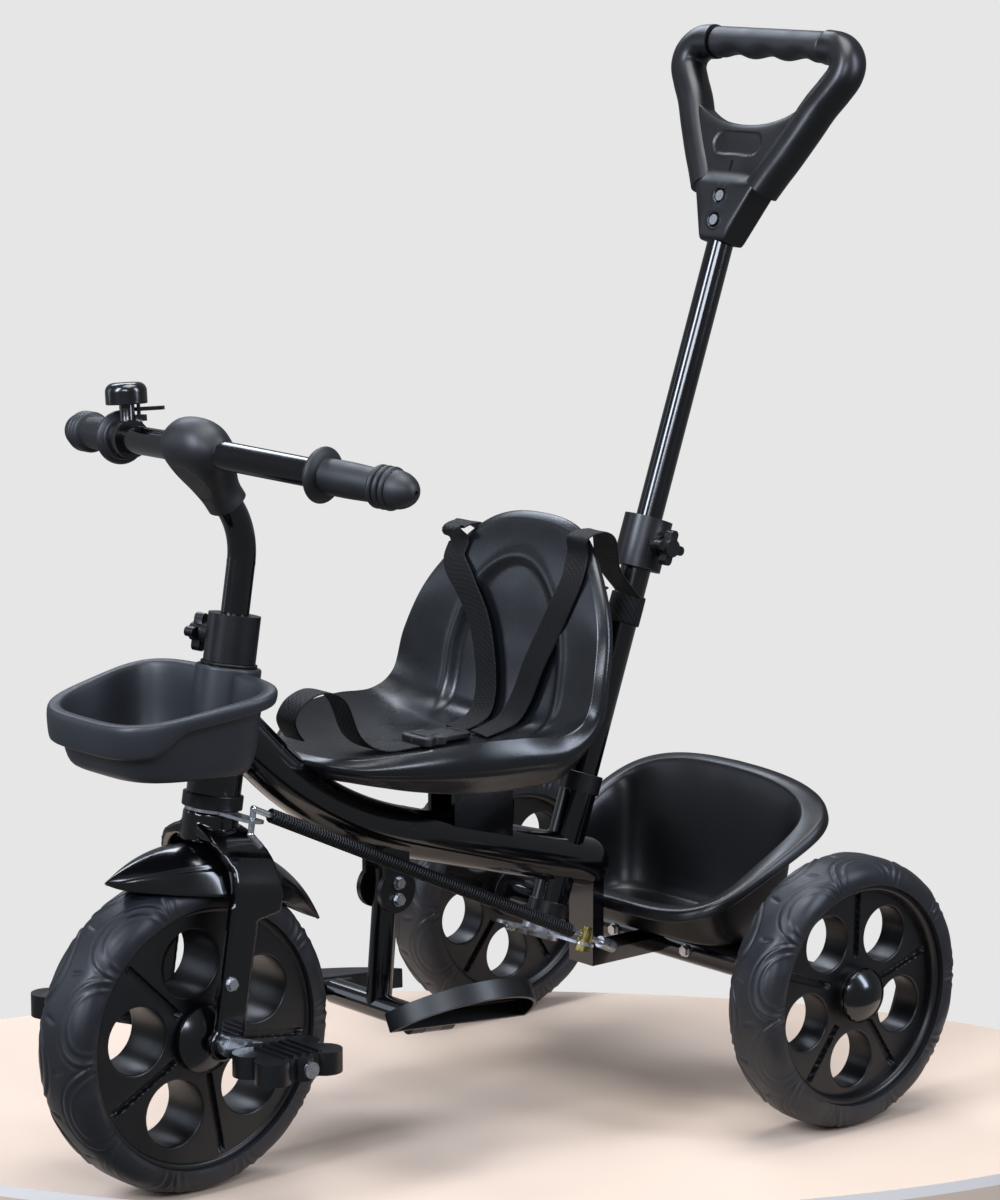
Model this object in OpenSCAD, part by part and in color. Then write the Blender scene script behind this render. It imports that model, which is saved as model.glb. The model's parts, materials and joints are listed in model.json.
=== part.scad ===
// Toddler trike with a steerable push bar.
// +X is forward, +Y the rider's left, +Z up; the origin is on the floor under the middle of the trike.

/* [Wheels] */
// Distance from the rear axle to the front axle
wheelbase = 505; // [485:1:540]
// Outer radius of the front tyre
front_r = 125; // [115:1:135]
// Width of the front tyre
front_w = 58; // [48:1:60]
// Outer radius of a rear tyre
rear_r = 112; // [106:1:118]
// Width of a rear tyre
rear_w = 52; // [44:1:58]
// Middle of the trike to the middle plane of a rear wheel
rear_y = 216; // [206:1:236]
// Depth of the foam tyre outside the rim
tyre_depth = 21; // [16:1:24]
// Radius of the round shoulder of a tyre
tyre_round = 12; // [6:1:14]
// Thickness of a rear wheel's disc between the holes
disc_w = 26; // [18:1:34]
// Thickness of the front wheel's disc between the holes
front_disc_w = 46; // [38:1:48]
// Thickness of the rim under the tyre
rim_wall = 6; // [4:0.5:9]
// Number of round holes in each wheel
hole_count = 5; // [3:1:6]
// Diameter of a hole in the front wheel
front_hole_d = 53; // [36:1:54]
// Diameter of a hole in a rear wheel
rear_hole_d = 46; // [34:1:48]
// Diameter of the front hub caps
front_cap_d = 54; // [40:1:58]
// Diameter of the rear hub caps
rear_cap_d = 46; // [36:1:50]
// Height of a hub cap's dome
cap_h = 11; // [8:0.5:13]
// Diameter of both axles
axle_d = 10; // [8:0.5:12]

/* [Frame] */
// Diameter of the curved main beam
beam_d = 41.5; // [39:0.5:42]
// Wall of the frame tubes
tube_wall = 2; // [1.2:0.1:3]
// Bend radius of the main beam
beam_bend_r = 318; // [280:1:350]
// Slope of the beam behind the head tube
beam_fall = 45; // [42:0.5:48]
// Slope of the beam under the seat
beam_slope = 16.1; // [14:0.1:18]
// Length of the straight nose of the beam
beam_nose = 53.6; // [45:0.1:60]
// Rear axle to the rear end of the beam
beam_end_x = 90; // [86:0.5:94]
// Diameter of the rear axle tube
axle_tube_d = 30; // [26:0.5:34]
// Width of the stay between the beam and the axle tube
stay_w = 30; // [22:1:34]
// Thickness of the stay
stay_t = 12; // [8:0.5:15]

/* [Steering] */
// Backward tilt of the steering axis
head_tilt = 9.3; // [8:0.1:11]
// Diameter of the head tube
head_d = 42.5; // [42.5:0.5:44]
// Lower end of the head tube above the front axle
head_bottom = 188; // [184:1:192]
// Length of the head tube
head_len = 100; // [96:1:104]
// Height on the steering axis where the beam meets it
beam_join = 247.7; // [240:0.1:252]
// Diameter of the steerer tube
steerer_d = 28; // [26.5:0.5:30]
// Diameter of the fork crown
crown_d = 44; // [40:0.5:46]
// Lower end of the crown above the front axle
crown_bottom = 150; // [148:0.5:152]
// Upper end of the crown above the front axle
crown_top = 174; // [172:0.5:175]
// Middle of the trike to the middle of a fork blade
blade_y = 48.5; // [48:0.5:52]
// Thickness of a fork blade
blade_t = 8; // [6:0.5:9]
// Width of a fork blade
blade_w = 27; // [22:1:28]
// Diameter of the clamp collars
collar_d = 41; // [39:0.5:44]
// Height of the collar on the stem
stem_collar_h = 37; // [32:1:42]
// Thickness of the two lever plates
lever_t = 2.5; // [2:0.1:3]
// Length of both lever arms
lever_arm = 52; // [48:0.5:56]
// Half width of the fender
fender_w = 43; // [40:0.5:43.5]
// Wall of the fender
fender_t = 2.5; // [2:0.1:4]

/* [Handlebar] */
// Diameter of the stem and the bar
bar_d = 22.2; // [21:0.1:22.6]
// Straight length of the stem above the front axle
stem_top = 368; // [364:1:374]
// Bend radius of the stem
stem_bend_r = 60; // [50:1:70]
// Forward bend of the stem
stem_bend = 44.5; // [40:0.5:48]
// Straight length of the stem after its bend
stem_reach = 58; // [54:0.5:62]
// Middle of the bar to the end of a grip, along the bar
bar_half = 222; // [212:1:232]
// Backward sweep of each half of the bar
bar_sweep = 10.5; // [6:0.5:13]
// Downward droop of each half of the bar
bar_droop = 3; // [0:0.5:5]
// Length of a grip
grip_len = 97; // [90:1:104]
// Diameter of a grip's barrel
grip_d = 27; // [25.5:0.5:30]
// Diameter of a grip's flange
flange_d = 43; // [39:0.5:46]
// Diameter of the bell's dome
bell_d = 33; // [28:1:36]
// Height of the bell's dome
bell_h = 17; // [15:1:20]
// Bar axis to the lower edge of the bell's dome
bell_rise = 27; // [24:1:32]

/* [Push bar] */
// Rear axle to where the push bar's axis crosses the beam
push_cross_x = 117; // [114:0.5:120]
// Backward tilt of the push bar
push_tilt = 19.4; // [18:0.1:20.5]
// Diameter of the socket tube through the beam
socket_d = 31; // [30:0.1:33]
// Socket length below the beam's middle
socket_below = 37; // [34:0.5:40]
// Socket length above the beam's middle
socket_above = 57; // [50:1:62]
// Diameter of the lower push tube
push_d = 25.4; // [25:0.1:26.4]
// Beam's middle to the lower edge of the push collar
push_collar_t = 250; // [240:1:262]
// Height of the push collar
push_collar_h = 43; // [38:1:48]
// Beam's middle to the lower end of the handle
handle_t = 531; // [510:1:550]
// Height of the handle's grip above its lower end
grip_rise = 174; // [170:1:180]
// Diameter of the push grip
push_grip_d = 27; // [25:0.5:30]
// Half length of the push grip
push_grip_half = 66; // [60:1:70]
// Half width of the handle at its widest, to the middle of a limb
handle_half = 94.5; // [91:0.5:99]
// Width of a handle limb
limb_w = 29; // [26:0.5:31]
// Thickness of a handle limb
limb_t = 30; // [26:0.5:32]

/* [Seat] */
// Rear axle to the middle of the seat bracket
seat_x = 215; // [205:1:222]
// Height of the seat's underside above the beam's middle
seat_rise = 56; // [50:0.5:62]
// Thickness of the backrest
seat_t = 20; // [16:0.5:24]
// Half width of the seat pan
pan_half = 122; // [114:1:128]
// Half width of the rounded top of the backrest
back_half = 80; // [70:1:88]

/* [Baskets] */
// Wall of both baskets
basket_t = 3; // [2.4:0.1:4]
// Half width of the front basket at the rear
front_basket_half = 92; // [84:1:98]
// Length of the front basket
front_basket_len = 128; // [116:1:136]
// Depth of the front basket
front_basket_h = 66; // [58:1:72]
// Half width of the rear basket
rear_basket_half = 138; // [128:1:142]
// Length of the rear basket at the rim
rear_basket_len = 170; // [160:1:176]
// Height of the rear rim above the rear basket's floor
rear_basket_h = 113; // [104:1:118]
// Height of the front rim above the rear basket's floor
rear_basket_lip = 36; // [33:0.5:39]

/* [Pedals] */
// Length of the cranks
crank_r = 34; // [28:1:38]
// Angle of the left crank, from forward, turning up
crank_turn = 198; // [180:1:220]
// Length of a pedal
pedal_l = 78; // [64:1:80]
// Width of a pedal
pedal_w = 56; // [48:1:60]
// Thickness of a pedal
pedal_t = 18; // [14:1:20]

/* [Footrest] */
// Footrest bracket's lower bolt to the front axle
foot_x = 201; // [196:1:206]
// Drop from the beam's middle to the bracket's middle
foot_drop = 48.5; // [46:0.5:52]
// Diameter of the footrest tubes
foot_d = 21; // [19:0.5:23]
// Length of the down tube
foot_leg = 97; // [90:1:100]
// Forward lean of the down tube
foot_lean = 5; // [0:0.5:8]
// Middle of the trike to a footplate's hinge
foot_hinge_y = 64; // [60:1:70]
// Outer radius of a footplate
foot_plate_r = 71; // [64:1:74]
// Depth of a footplate's skirt
foot_plate_h = 16; // [12:1:18]
// Wall of a footplate
foot_plate_t = 3; // [2.4:0.1:4]
// Upward fold of the left footplate
left_fold = 32; // [0:1:35]
// Upward fold of the right footplate
right_fold = -8; // [-10:1:35]

/* [Steering link] */
// Diameter of the link's wire
link_d = 5; // [4:0.1:5.4]
// Height of the link's wire above the fork's lever
link_rise = 8; // [7.5:0.1:9]
// Height of the link's wire above the push bar's lever
clamp_rise = 5; // [4.6:0.1:6]
// Height of the block that carries the push bar's lever
push_hub_h = 15; // [12:0.5:17]
// Number of curls in the spring sleeve
curls = 88; // [60:1:90]
// Outer diameter of the spring sleeve
spring_d = 11.6; // [11:0.1:12]
// Diameter of the spring's wire
spring_wire = 2.2; // [1.6:0.1:2.4]

/* [Harness] */
// Width of the webbing
strap_w = 25; // [20:1:28]
// Thickness of the webbing
strap_t = 1.6; // [1.2:0.1:2]

/* [Fits] */
// Radial clearance of turning and sliding fits
run_gap = 0.05; // [0.02:0.01:0.09]
// Radial clearance of fixed fits
fix_gap = 0.03; // [0.01:0.01:0.06]
// Clearance of pieces that sit on each other
seat_gap = 0.2; // [0.1:0.05:0.3]
// Clearance between neighbours that move
air_gap = 0.4; // [0.3:0.05:0.6]

/* [Hidden] */
$fn = 64;
eps = 0.5;
// Height of the weld bands where bends meet straight tubes, and half their length
weld = 0.15;
weld_half = 1.5;

// Reach of the whole trike ahead of and behind the rear axle, and the rear axle's place
push_reach = handle_t + grip_rise;
ahead = wheelbase + front_r;
grip_back = norm([limb_w / 2 * sin(push_tilt), limb_t / 2 * cos(push_tilt)]);
behind = push_reach * sin(push_tilt) + grip_back - push_cross_x;
rear_x = -(ahead - behind) / 2;
front_x = rear_x + wheelbase;

// Points on the steering axis: s along it from the front axle, x square to it and forward
function head_pt(s, x = 0) = [
  front_x - s * sin(head_tilt) + x * cos(head_tilt),
  0,
  front_r + s * cos(head_tilt) + x * sin(head_tilt)
];

// Centre line of the main beam, from the head tube backwards
beam_p0 = head_pt(beam_join);
beam_p1 = beam_p0 - beam_nose * [cos(beam_fall), 0, sin(beam_fall)];
beam_c = beam_p1 + beam_bend_r * [-sin(beam_fall), 0, cos(beam_fall)];
beam_p2 = beam_c + beam_bend_r * [sin(beam_slope), 0, -cos(beam_slope)];
function beam_z(x) = beam_p2.z - (beam_p2.x - x) * tan(beam_slope);
beam_end = [rear_x + beam_end_x, 0, beam_z(rear_x + beam_end_x)];
beam_run = (beam_p2.x - beam_end.x) / cos(beam_slope);
beam_half = beam_d / 2;

// Push bar: t runs up its axis from the beam's middle
push_0 = [rear_x + push_cross_x, 0, beam_z(rear_x + push_cross_x)];
function push_pt(t, x = 0) = push_0 + [
  x * cos(push_tilt) - t * sin(push_tilt),
  0,
  t * cos(push_tilt) + x * sin(push_tilt)
];

// Stack of pieces along the steering axis
lever_s = crown_top;
bush_lip = 10.5;
low_bush_s = lever_s + lever_t + air_gap;
head_s = head_bottom;
head_top = head_s + head_len;
top_lip = 2.2;
stem_collar_s = head_top + top_lip + air_gap;
stem_collar_top = stem_collar_s + stem_collar_h;
collar_cap = 5;
steerer_top = stem_collar_top - collar_cap;
bar_s = stem_top + stem_bend_r * sin(stem_bend) + stem_reach * cos(stem_bend);
bar_x = stem_bend_r * (1 - cos(stem_bend)) + stem_reach * sin(stem_bend);
bar_c = head_pt(bar_s, bar_x);

// Stack of pieces along the push bar
push_bush_lip = 12;
push_low = -socket_below - push_bush_lip;
push_hub_t = push_low - air_gap;
push_lever_t = push_hub_t - push_hub_h;
push_top_lip = 16;
push_collar_top = push_collar_t + push_collar_h;

// Wheels
front_rim_r = front_r - tyre_depth;
rear_rim_r = rear_r - tyre_depth;
hub_r = 22;
front_hub_half = blade_y - blade_t / 2 - air_gap;
axle_end = rear_y + rear_w / 2 - 8;

// Seat frame: its origin lies under the middle of the pan
seat_0 = [rear_x + seat_x, 0, beam_z(rear_x + seat_x) + seat_rise];

// Small vector helpers
function unit(v) = v / norm(v);
function spow(c, p) = sign(c) * pow(abs(c), p);

// Steering link between the two levers
link_front = head_pt(lever_s + lever_t + link_rise) + [0, lever_arm, 0];
link_rear = push_pt(push_lever_t + lever_t + clamp_rise) + [0, lever_arm, 0];
link_vec = link_front - link_rear;
link_len = norm(link_vec);
link_pitch = atan2(link_vec.z, link_vec.x);

// Placing helpers

// Puts children on the steering axis, s above the front axle
module on_head(s = 0) {
  translate([front_x, 0, front_r]) rotate([0, -head_tilt, 0]) translate([0, 0, s]) children();
}

// Puts children on the push bar's axis, t above the beam
module on_push(t = 0) {
  translate(push_0) rotate([0, -push_tilt, 0]) translate([0, 0, t]) children();
}

// Turns the z axis of children to +Y
module along_y() {
  rotate([-90, 0, 0]) children();
}

// Puts children at the middle of the handlebar, with z outwards along one half of it
module on_bar(side) {
  translate(bar_c) rotate([0, 0, side * bar_sweep]) rotate([-side * (90 + bar_droop), 0, 0]) children();
}

// Puts children at the rear pivot of the link, with x along the link towards the front
module on_link() {
  translate(link_rear) rotate([0, -link_pitch, 0]) children();
}

// Shape helpers

// Hollow round tube along z
module tube(d, bore, h) {
  difference() {
    cylinder(d = d, h = h);
    translate([0, 0, -eps]) cylinder(d = bore, h = h + 2 * eps);
  }
}

// Band across a joint at z = 0, just proud of a rod of radius r
module weld_band(r) {
  translate([0, 0, -weld_half]) cylinder(r = r + weld, h = 2 * weld_half);
}

// Flat bar with round ends, lying in the xy plane between the origin and [l, 0]
module round_bar(l, w, h) {
  cylinder(d = w, h = h);
  translate([l, 0, 0]) cylinder(d = w, h = h);
  translate([0, -w / 2, 0]) cube([l, w, h]);
}

// Solid through rings of points, closed by a fan at each end
module loft(rings) {
  n = len(rings[0]);
  m = len(rings);
  mid_a = [for (k = [0:2]) [for (p = rings[0]) p[k]] * [for (p = rings[0]) 1] / n];
  mid_b = [for (k = [0:2]) [for (p = rings[m - 1]) p[k]] * [for (p = rings[0]) 1] / n];
  sides = [
    for (j = [0:m - 2], i = [0:n - 1])
      let (a = j * n + i, b = j * n + (i + 1) % n)
        each [[a, a + n, b + n], [a, b + n, b]]
  ];
  ends = [
    for (i = [0:n - 1])
      each [
        [m * n, i, (i + 1) % n],
        [m * n + 1, (m - 1) * n + (i + 1) % n, (m - 1) * n + i]
      ]
  ];
  polyhedron(points = [for (r = rings) each r, mid_a, mid_b], faces = [each sides, each ends]);
}

// Solid through flat rings, whose first half of points faces their second half, closed by a strip at each end
module sheet_loft(rings) {
  n = len(rings[0]);
  m = len(rings);
  last = (m - 1) * n;
  sides = [
    for (j = [0:m - 2], i = [0:n - 1])
      let (a = j * n + i, b = j * n + (i + 1) % n)
        each [[a, a + n, b + n], [a, b + n, b]]
  ];
  ends = [
    for (i = [0:n / 2 - 2])
      each [
        [i, i + 1, n - 2 - i], [i, n - 2 - i, n - 1 - i],
        [last + i + 1, last + i, last + n - 2 - i], [last + n - 2 - i, last + i, last + n - 1 - i]
      ]
  ];
  polyhedron(points = [for (r = rings) each r], faces = [each sides, each ends]);
}

// Round-edged block standing on z = 0
module pad(l, w, h, r) {
  for (x = [-1, 1], y = [-1, 1]) translate([x * (l / 2 - r), y * (w / 2 - r), 0]) cylinder(r = r, h = h);
  translate([-l / 2 + r, -w / 2, 0]) cube([l - 2 * r, w, h]);
  translate([-l / 2, -w / 2 + r, 0]) cube([l, w - 2 * r, h]);
}

// Hexagon head with a washer, standing on z = 0
module bolt_head(d) {
  cylinder(d = 2.2 * d, h = 0.25 * d);
  cylinder(d = 1.8 * d, h = 0.9 * d, $fn = 6);
}

// Wheels

// Foam tyre about z, centred on z = 0
module tyre(r, w) {
  inner = r - tyre_depth + seat_gap;
  depth = tyre_depth - seat_gap;
  rotate_extrude($fn = 96) intersection() {
    union() {
      translate([inner, -w / 2]) square([depth - tyre_round, w]);
      translate([inner, -w / 2 + tyre_round]) square([depth, w - 2 * tyre_round]);
      for (k = [-1, 1]) translate([r - tyre_round, k * (w / 2 - tyre_round)]) circle(r = tyre_round);
    }
    translate([inner, -w / 2]) square([depth, w]);
  }
}

// Turn of the holes at rest, from straight ahead
front_turn = -8;
rear_turn = 16;

// Moulded wheel about z, centred on z = 0, with round holes and radial grooves between them
module wheel_body(r, w, hole_d, hub_w, disc, turn) {
  rim_in = r - rim_wall;
  hole_at = (rim_in + hub_r) / 2 + 2;
  groove_w = 6;
  groove_h = 4;
  difference() {
    rotate_extrude($fn = 96) {
      translate([axle_d / 2 + run_gap, -disc / 2]) square([r - axle_d / 2 - run_gap, disc]);
      translate([rim_in, -w / 2 + 4]) square([rim_wall, w - 8]);
      translate([axle_d / 2 + run_gap, -hub_w / 2]) square([hub_r - axle_d / 2, hub_w]);
    }
    for (i = [0:hole_count - 1]) {
      rotate(turn + i * 360 / hole_count) translate([hole_at, 0, -w]) cylinder(d = hole_d, h = 2 * w);
      for (k = [0, 1])
        mirror([0, 0, k]) rotate(turn + (i + 0.5) * 360 / hole_count)
          translate([hub_r + 9, -groove_w / 2, disc / 2 - groove_h])
            cube([rim_in - hub_r - 12, groove_w, groove_h + eps]);
    }
  }
}

// Hub cap about z: a dome on a short collar, hollow over the axle's end
module hub_cap(d, seat) {
  dome_r = (d * d / 4 + cap_h * cap_h) / (2 * cap_h);
  wall = 2;
  difference() {
    rotate_extrude() intersection() {
      union() {
        translate([0, seat]) square([d / 2, 4]);
        translate([0, seat + 4 + cap_h - dome_r]) circle(r = dome_r);
      }
      translate([0, seat]) square([d / 2, cap_h + 4]);
    }
    translate([0, 0, seat - eps]) cylinder(d = axle_d + 2, h = cap_h + 4 - wall + eps);
  }
}

module front_wheel() {
  color([0.09, 0.09, 0.1])
    translate([front_x, 0, front_r]) along_y()
      difference() {
        wheel_body(front_rim_r, front_w, front_hole_d, front_disc_w + 4, front_disc_w, front_turn);
        translate([0, 0, -front_w]) cylinder(d = axle_d + 2 * fix_gap, h = 2 * front_w);
      }
}

module front_tyre() {
  color([0.2, 0.2, 0.22]) translate([front_x, 0, front_r]) along_y() tyre(front_r, front_w);
}

front_cap_seat = (front_disc_w + 4) / 2 + fix_gap;

module front_hub_caps() {
  color([0.08, 0.08, 0.09])
    translate([front_x, 0, front_r]) along_y()
      for (k = [0, 1]) mirror([0, 0, k]) difference() {
        hub_cap(front_cap_d, front_cap_seat);
        cylinder(d = axle_d + 2 * fix_gap, h = front_w);
      }
}

module rear_wheel(side) {
  color([0.09, 0.09, 0.1])
    translate([rear_x, side * rear_y, rear_r]) along_y()
      wheel_body(rear_rim_r, rear_w, rear_hole_d, rear_w - 12, disc_w, rear_turn);
}

module rear_tyre(side) {
  color([0.2, 0.2, 0.22]) translate([rear_x, side * rear_y, rear_r]) along_y() tyre(rear_r, rear_w);
}

module rear_hub_cap(side) {
  color([0.08, 0.08, 0.09])
    translate([rear_x, side * rear_y, rear_r]) rotate([-side * 90, 0, 0])
      hub_cap(rear_cap_d, (rear_w - 12) / 2 + fix_gap);
}

module rear_wheel_left() { rear_wheel(1); }
module rear_wheel_right() { rear_wheel(-1); }
module rear_tyre_left() { rear_tyre(1); }
module rear_tyre_right() { rear_tyre(-1); }
module rear_hub_cap_left() { rear_hub_cap(1); }
module rear_hub_cap_right() { rear_hub_cap(-1); }

// Frame

// The beam's line as a round rod, used for the tube, its bore and what saddles it
module beam_rod(r) {
  translate(beam_p1) rotate([0, 90 - beam_fall, 0]) cylinder(r = r, h = beam_nose);
  translate(beam_c) rotate([90, 0, 0]) rotate([0, 0, beam_slope - 90])
    rotate_extrude(angle = beam_fall - beam_slope) translate([beam_bend_r, 0]) circle(r = r);
  translate(beam_end) rotate([0, 90 - beam_slope, 0]) cylinder(r = r, h = beam_run);
  translate(beam_end) sphere(r = r);
  translate(beam_p1) rotate([0, 90 - beam_fall, 0]) weld_band(r);
  translate(beam_p2) rotate([0, 90 - beam_slope, 0]) weld_band(r);
}

module main_beam() {
  color([0.03, 0.03, 0.05])
    difference() {
      beam_rod(beam_half);
      beam_rod(beam_half - tube_wall);
      on_head() cylinder(d = head_d + 2 * fix_gap, h = 2 * beam_join);
      on_push(-beam_d) cylinder(d = socket_d + 2 * fix_gap, h = 2 * beam_d);
    }
}

bush_bore = steerer_d + 2 * run_gap;
head_bore = head_d - 2 * tube_wall;
socket_bore = socket_d - 2 * 1.2;

module head_tube() {
  color([0.03, 0.03, 0.05]) on_head(head_s) tube(head_d, head_bore, head_len);
}

// Flanged bush: its lip stands on z = 0 and its sleeve goes down from there
module bush(lip_d, lip, sleeve_d, sleeve, bore) {
  difference() {
    union() {
      cylinder(d = lip_d, h = lip);
      translate([0, 0, -sleeve]) cylinder(d = sleeve_d - 2 * fix_gap, h = sleeve + eps);
    }
    translate([0, 0, -sleeve - eps]) cylinder(d = bore, h = sleeve + lip + 2 * eps);
  }
}

module tube_bushes() {
  low_lip = head_s - low_bush_s - fix_gap;
  push_bore = push_d + 2 * run_gap;
  color([0.12, 0.12, 0.13]) {
    on_head(head_s - fix_gap) mirror([0, 0, 1]) bush(head_d + 5, low_lip, head_bore, 20, bush_bore);
    on_head(head_top + fix_gap) bush(head_d + 2, top_lip - fix_gap, head_bore, 20, bush_bore);
    on_push(-socket_below - fix_gap) mirror([0, 0, 1])
      bush(socket_d + 3, push_bush_lip - fix_gap, socket_bore, 18, push_bore);
    on_push(socket_above + fix_gap) bush(socket_d + 4, push_top_lip, socket_bore, 18, push_bore);
  }
}

module push_socket() {
  color([0.03, 0.03, 0.05]) on_push(-socket_below) tube(socket_d, socket_bore, socket_below + socket_above);
}

axle_tube_half = rear_y - rear_w / 2 + 2;

module axle_tube() {
  color([0.03, 0.03, 0.05])
    translate([rear_x, -axle_tube_half, rear_r]) along_y()
      tube(axle_tube_d, axle_d + 2 * fix_gap, 2 * axle_tube_half);
}

// Stay: a flat bar forward from the axle tube, then a post up to the beam's end, just ahead of the basket
rear_basket_fore = 78;
stay_post_x = rear_basket_fore + 4 + stay_t / 2;

module rear_stay() {
  color([0.03, 0.03, 0.05])
    difference() {
      union() {
        translate([rear_x, -stay_w / 2, rear_r - stay_t / 2])
          cube([stay_post_x + stay_t / 2, stay_w, stay_t]);
        translate([rear_x + stay_post_x - stay_t / 2, -stay_w / 2, rear_r - stay_t / 2])
          cube([stay_t, stay_w, beam_end.z - rear_r + stay_t / 2]);
      }
      beam_rod(beam_half + fix_gap);
      translate([rear_x, -stay_w, rear_r]) along_y() cylinder(d = axle_tube_d + 2 * fix_gap, h = 2 * stay_w);
      on_push(-2 * socket_below) cylinder(d = socket_d + 8, h = 4 * socket_below);
    }
}

module rear_axle() {
  color([0.7, 0.7, 0.72])
    translate([rear_x, -axle_end, rear_r]) along_y() cylinder(d = axle_d, h = 2 * axle_end);
}

washer_t = rear_y - (rear_w - 12) / 2 - axle_tube_half - air_gap - fix_gap;

module axle_washers() {
  color([0.7, 0.7, 0.72])
    for (side = [-1, 1])
      translate([rear_x, side * (axle_tube_half + fix_gap), rear_r]) rotate([-side * 90, 0, 0])
        tube(24, axle_d + 2 * fix_gap, washer_t);
}

// Seat

// Smooth value through evenly spaced knots, v from 0 to 1 over all of them
function knot(k, i) = k[max(0, min(len(k) - 1, i))];
function through(k, v) =
  let (n = len(k) - 1, i = max(0, min(n - 1, floor(v * n))), t = v * n - i)
    let (a = knot(k, i), b = knot(k, i + 1), ma = (b - knot(k, i - 1)) / 2, mb = (knot(k, i + 2) - a) / 2)
      (2 * t * t * t - 3 * t * t + 1) * a + (t * t * t - 2 * t * t + t) * ma
      + (-2 * t * t * t + 3 * t * t) * b + (t * t * t - t * t) * mb;

// Share of the pan's full length that a change of the wheelbase leaves it
pan_k = 1 + 0.72 * (wheelbase - 505) / 176;

// Knots from the front lip, along the pan and up the backrest.
// Middle of the sitting face as [x, z], its rim as [x, half width, z], and the underside's middle and rim
seat_mid = [
  [172 * pan_k, 44], [142 * pan_k, 40], [95 * pan_k, 34], [45 * pan_k, 33], [0, 36], [-30, 52], [-42, 105],
  [-51, 165], [-70, 204]
];
seat_rim = [
  [152 * pan_k, 0.5 * pan_half, 44], [126 * pan_k, 0.68 * pan_half, 52], [88 * pan_k, 0.86 * pan_half, 57],
  [45 * pan_k, 0.96 * pan_half, 57], [5 * pan_k, pan_half, 55], [-18, pan_half, 68], [-28, pan_half - 2, 102],
  [-41, pan_half - 12, 140], [-59, back_half, 184]
];
under_mid = [
  [176 * pan_k, 28], [142 * pan_k, 22], [95 * pan_k, 19], [45 * pan_k, 18], [-10, 18], [-52, 42],
  [-42 - seat_t, 105], [-51 - seat_t, 165], [-86, 200]
];
under_rim = [
  [152 * pan_k, 0.5 * pan_half, 23], [126 * pan_k, 0.68 * pan_half, 18], [88 * pan_k, 0.86 * pan_half, 15],
  [45 * pan_k, 0.96 * pan_half, 15], [0, pan_half, 20], [-36, pan_half, 52], [-28 - seat_t, pan_half - 2, 96],
  [-41 - seat_t, pan_half - 12, 136], [-76, back_half, 180]
];

// Point of a face: u from -1 at the right rim to 1 at the left, v from 0 at the front lip to 1 at the top
function face_pt(mid, rim, u, v) =
  let (m = through(mid, v), r = through(rim, v), lift = pow(abs(u), 2.4))
    seat_0 + [m[0] + (r[0] - m[0]) * lift, r[1] * u, m[1] + (r[2] - m[1]) * lift];
function seat_pt(u, v) = face_pt(seat_mid, seat_rim, u, v);
function under_pt(u, v) = face_pt(under_mid, under_rim, u, v);
function seat_n(u, v) =
  let (a = seat_pt(u + 0.01, v) - seat_pt(u - 0.01, v))
    let (b = seat_pt(u, min(1, v + 0.005)) - seat_pt(u, max(0, v - 0.005)))
      unit(cross(a, b));

seat_across = 16;
seat_along = 26;

module seat() {
  roll = 6;
  rings = [
    for (j = [0:seat_along])
      let (v = j / seat_along, edge = (seat_pt(1, v) + under_pt(1, v)) / 2 + [0, roll, 0])
        [
          for (i = [0:seat_across]) seat_pt(2 * i / seat_across - 1, v),
          edge,
          for (i = [seat_across:-1:0]) under_pt(2 * i / seat_across - 1, v),
          [edge.x, -edge.y, edge.z]
        ]
  ];
  boss_h = 22;
  color([0.14, 0.14, 0.16])
    difference() {
      union() {
        sheet_loft(rings);
        translate(seat_0) pad(98, 56, boss_h, 8);
      }
      beam_rod(beam_half + air_gap);
    }
}

bracket_l = 62;
bracket_w = 34;

module seat_bracket() {
  wall = 4;
  drop = seat_rise;
  color([0.03, 0.03, 0.05])
    difference() {
      translate(seat_0 - [bracket_l / 2, bracket_w / 2, drop]) cube([bracket_l, bracket_w, drop - fix_gap]);
      translate(seat_0 - [bracket_l / 2 + eps, bracket_w / 2 - wall, drop + wall])
        cube([bracket_l + 2 * eps, bracket_w - 2 * wall, drop]);
      beam_rod(beam_half + fix_gap);
    }
}

// Baskets

// Round-cornered outline about a middle: half length l, half width w pulled in by taper towards the front,
// height za at the rear, raised by arch in the middle of the rear, and zb at the front
basket_n = 48;
function outline(mid, l, w, taper, za, zb, p, arch = 0) = [
  for (i = [0:basket_n - 1])
    let (a = 360 * i / basket_n, c = spow(cos(a), p), s = spow(sin(a), p), fore = (c + 1) / 2)
      mid + [l * c, w * s * (1 - taper * fore), za + (zb - za) * fore + arch * (1 - s * s) * (1 - fore)]
];

front_basket_mid = head_pt(head_bottom + 30) + [front_basket_len / 2 - 4, 0, 0];
front_rim_drop = 20;

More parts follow.
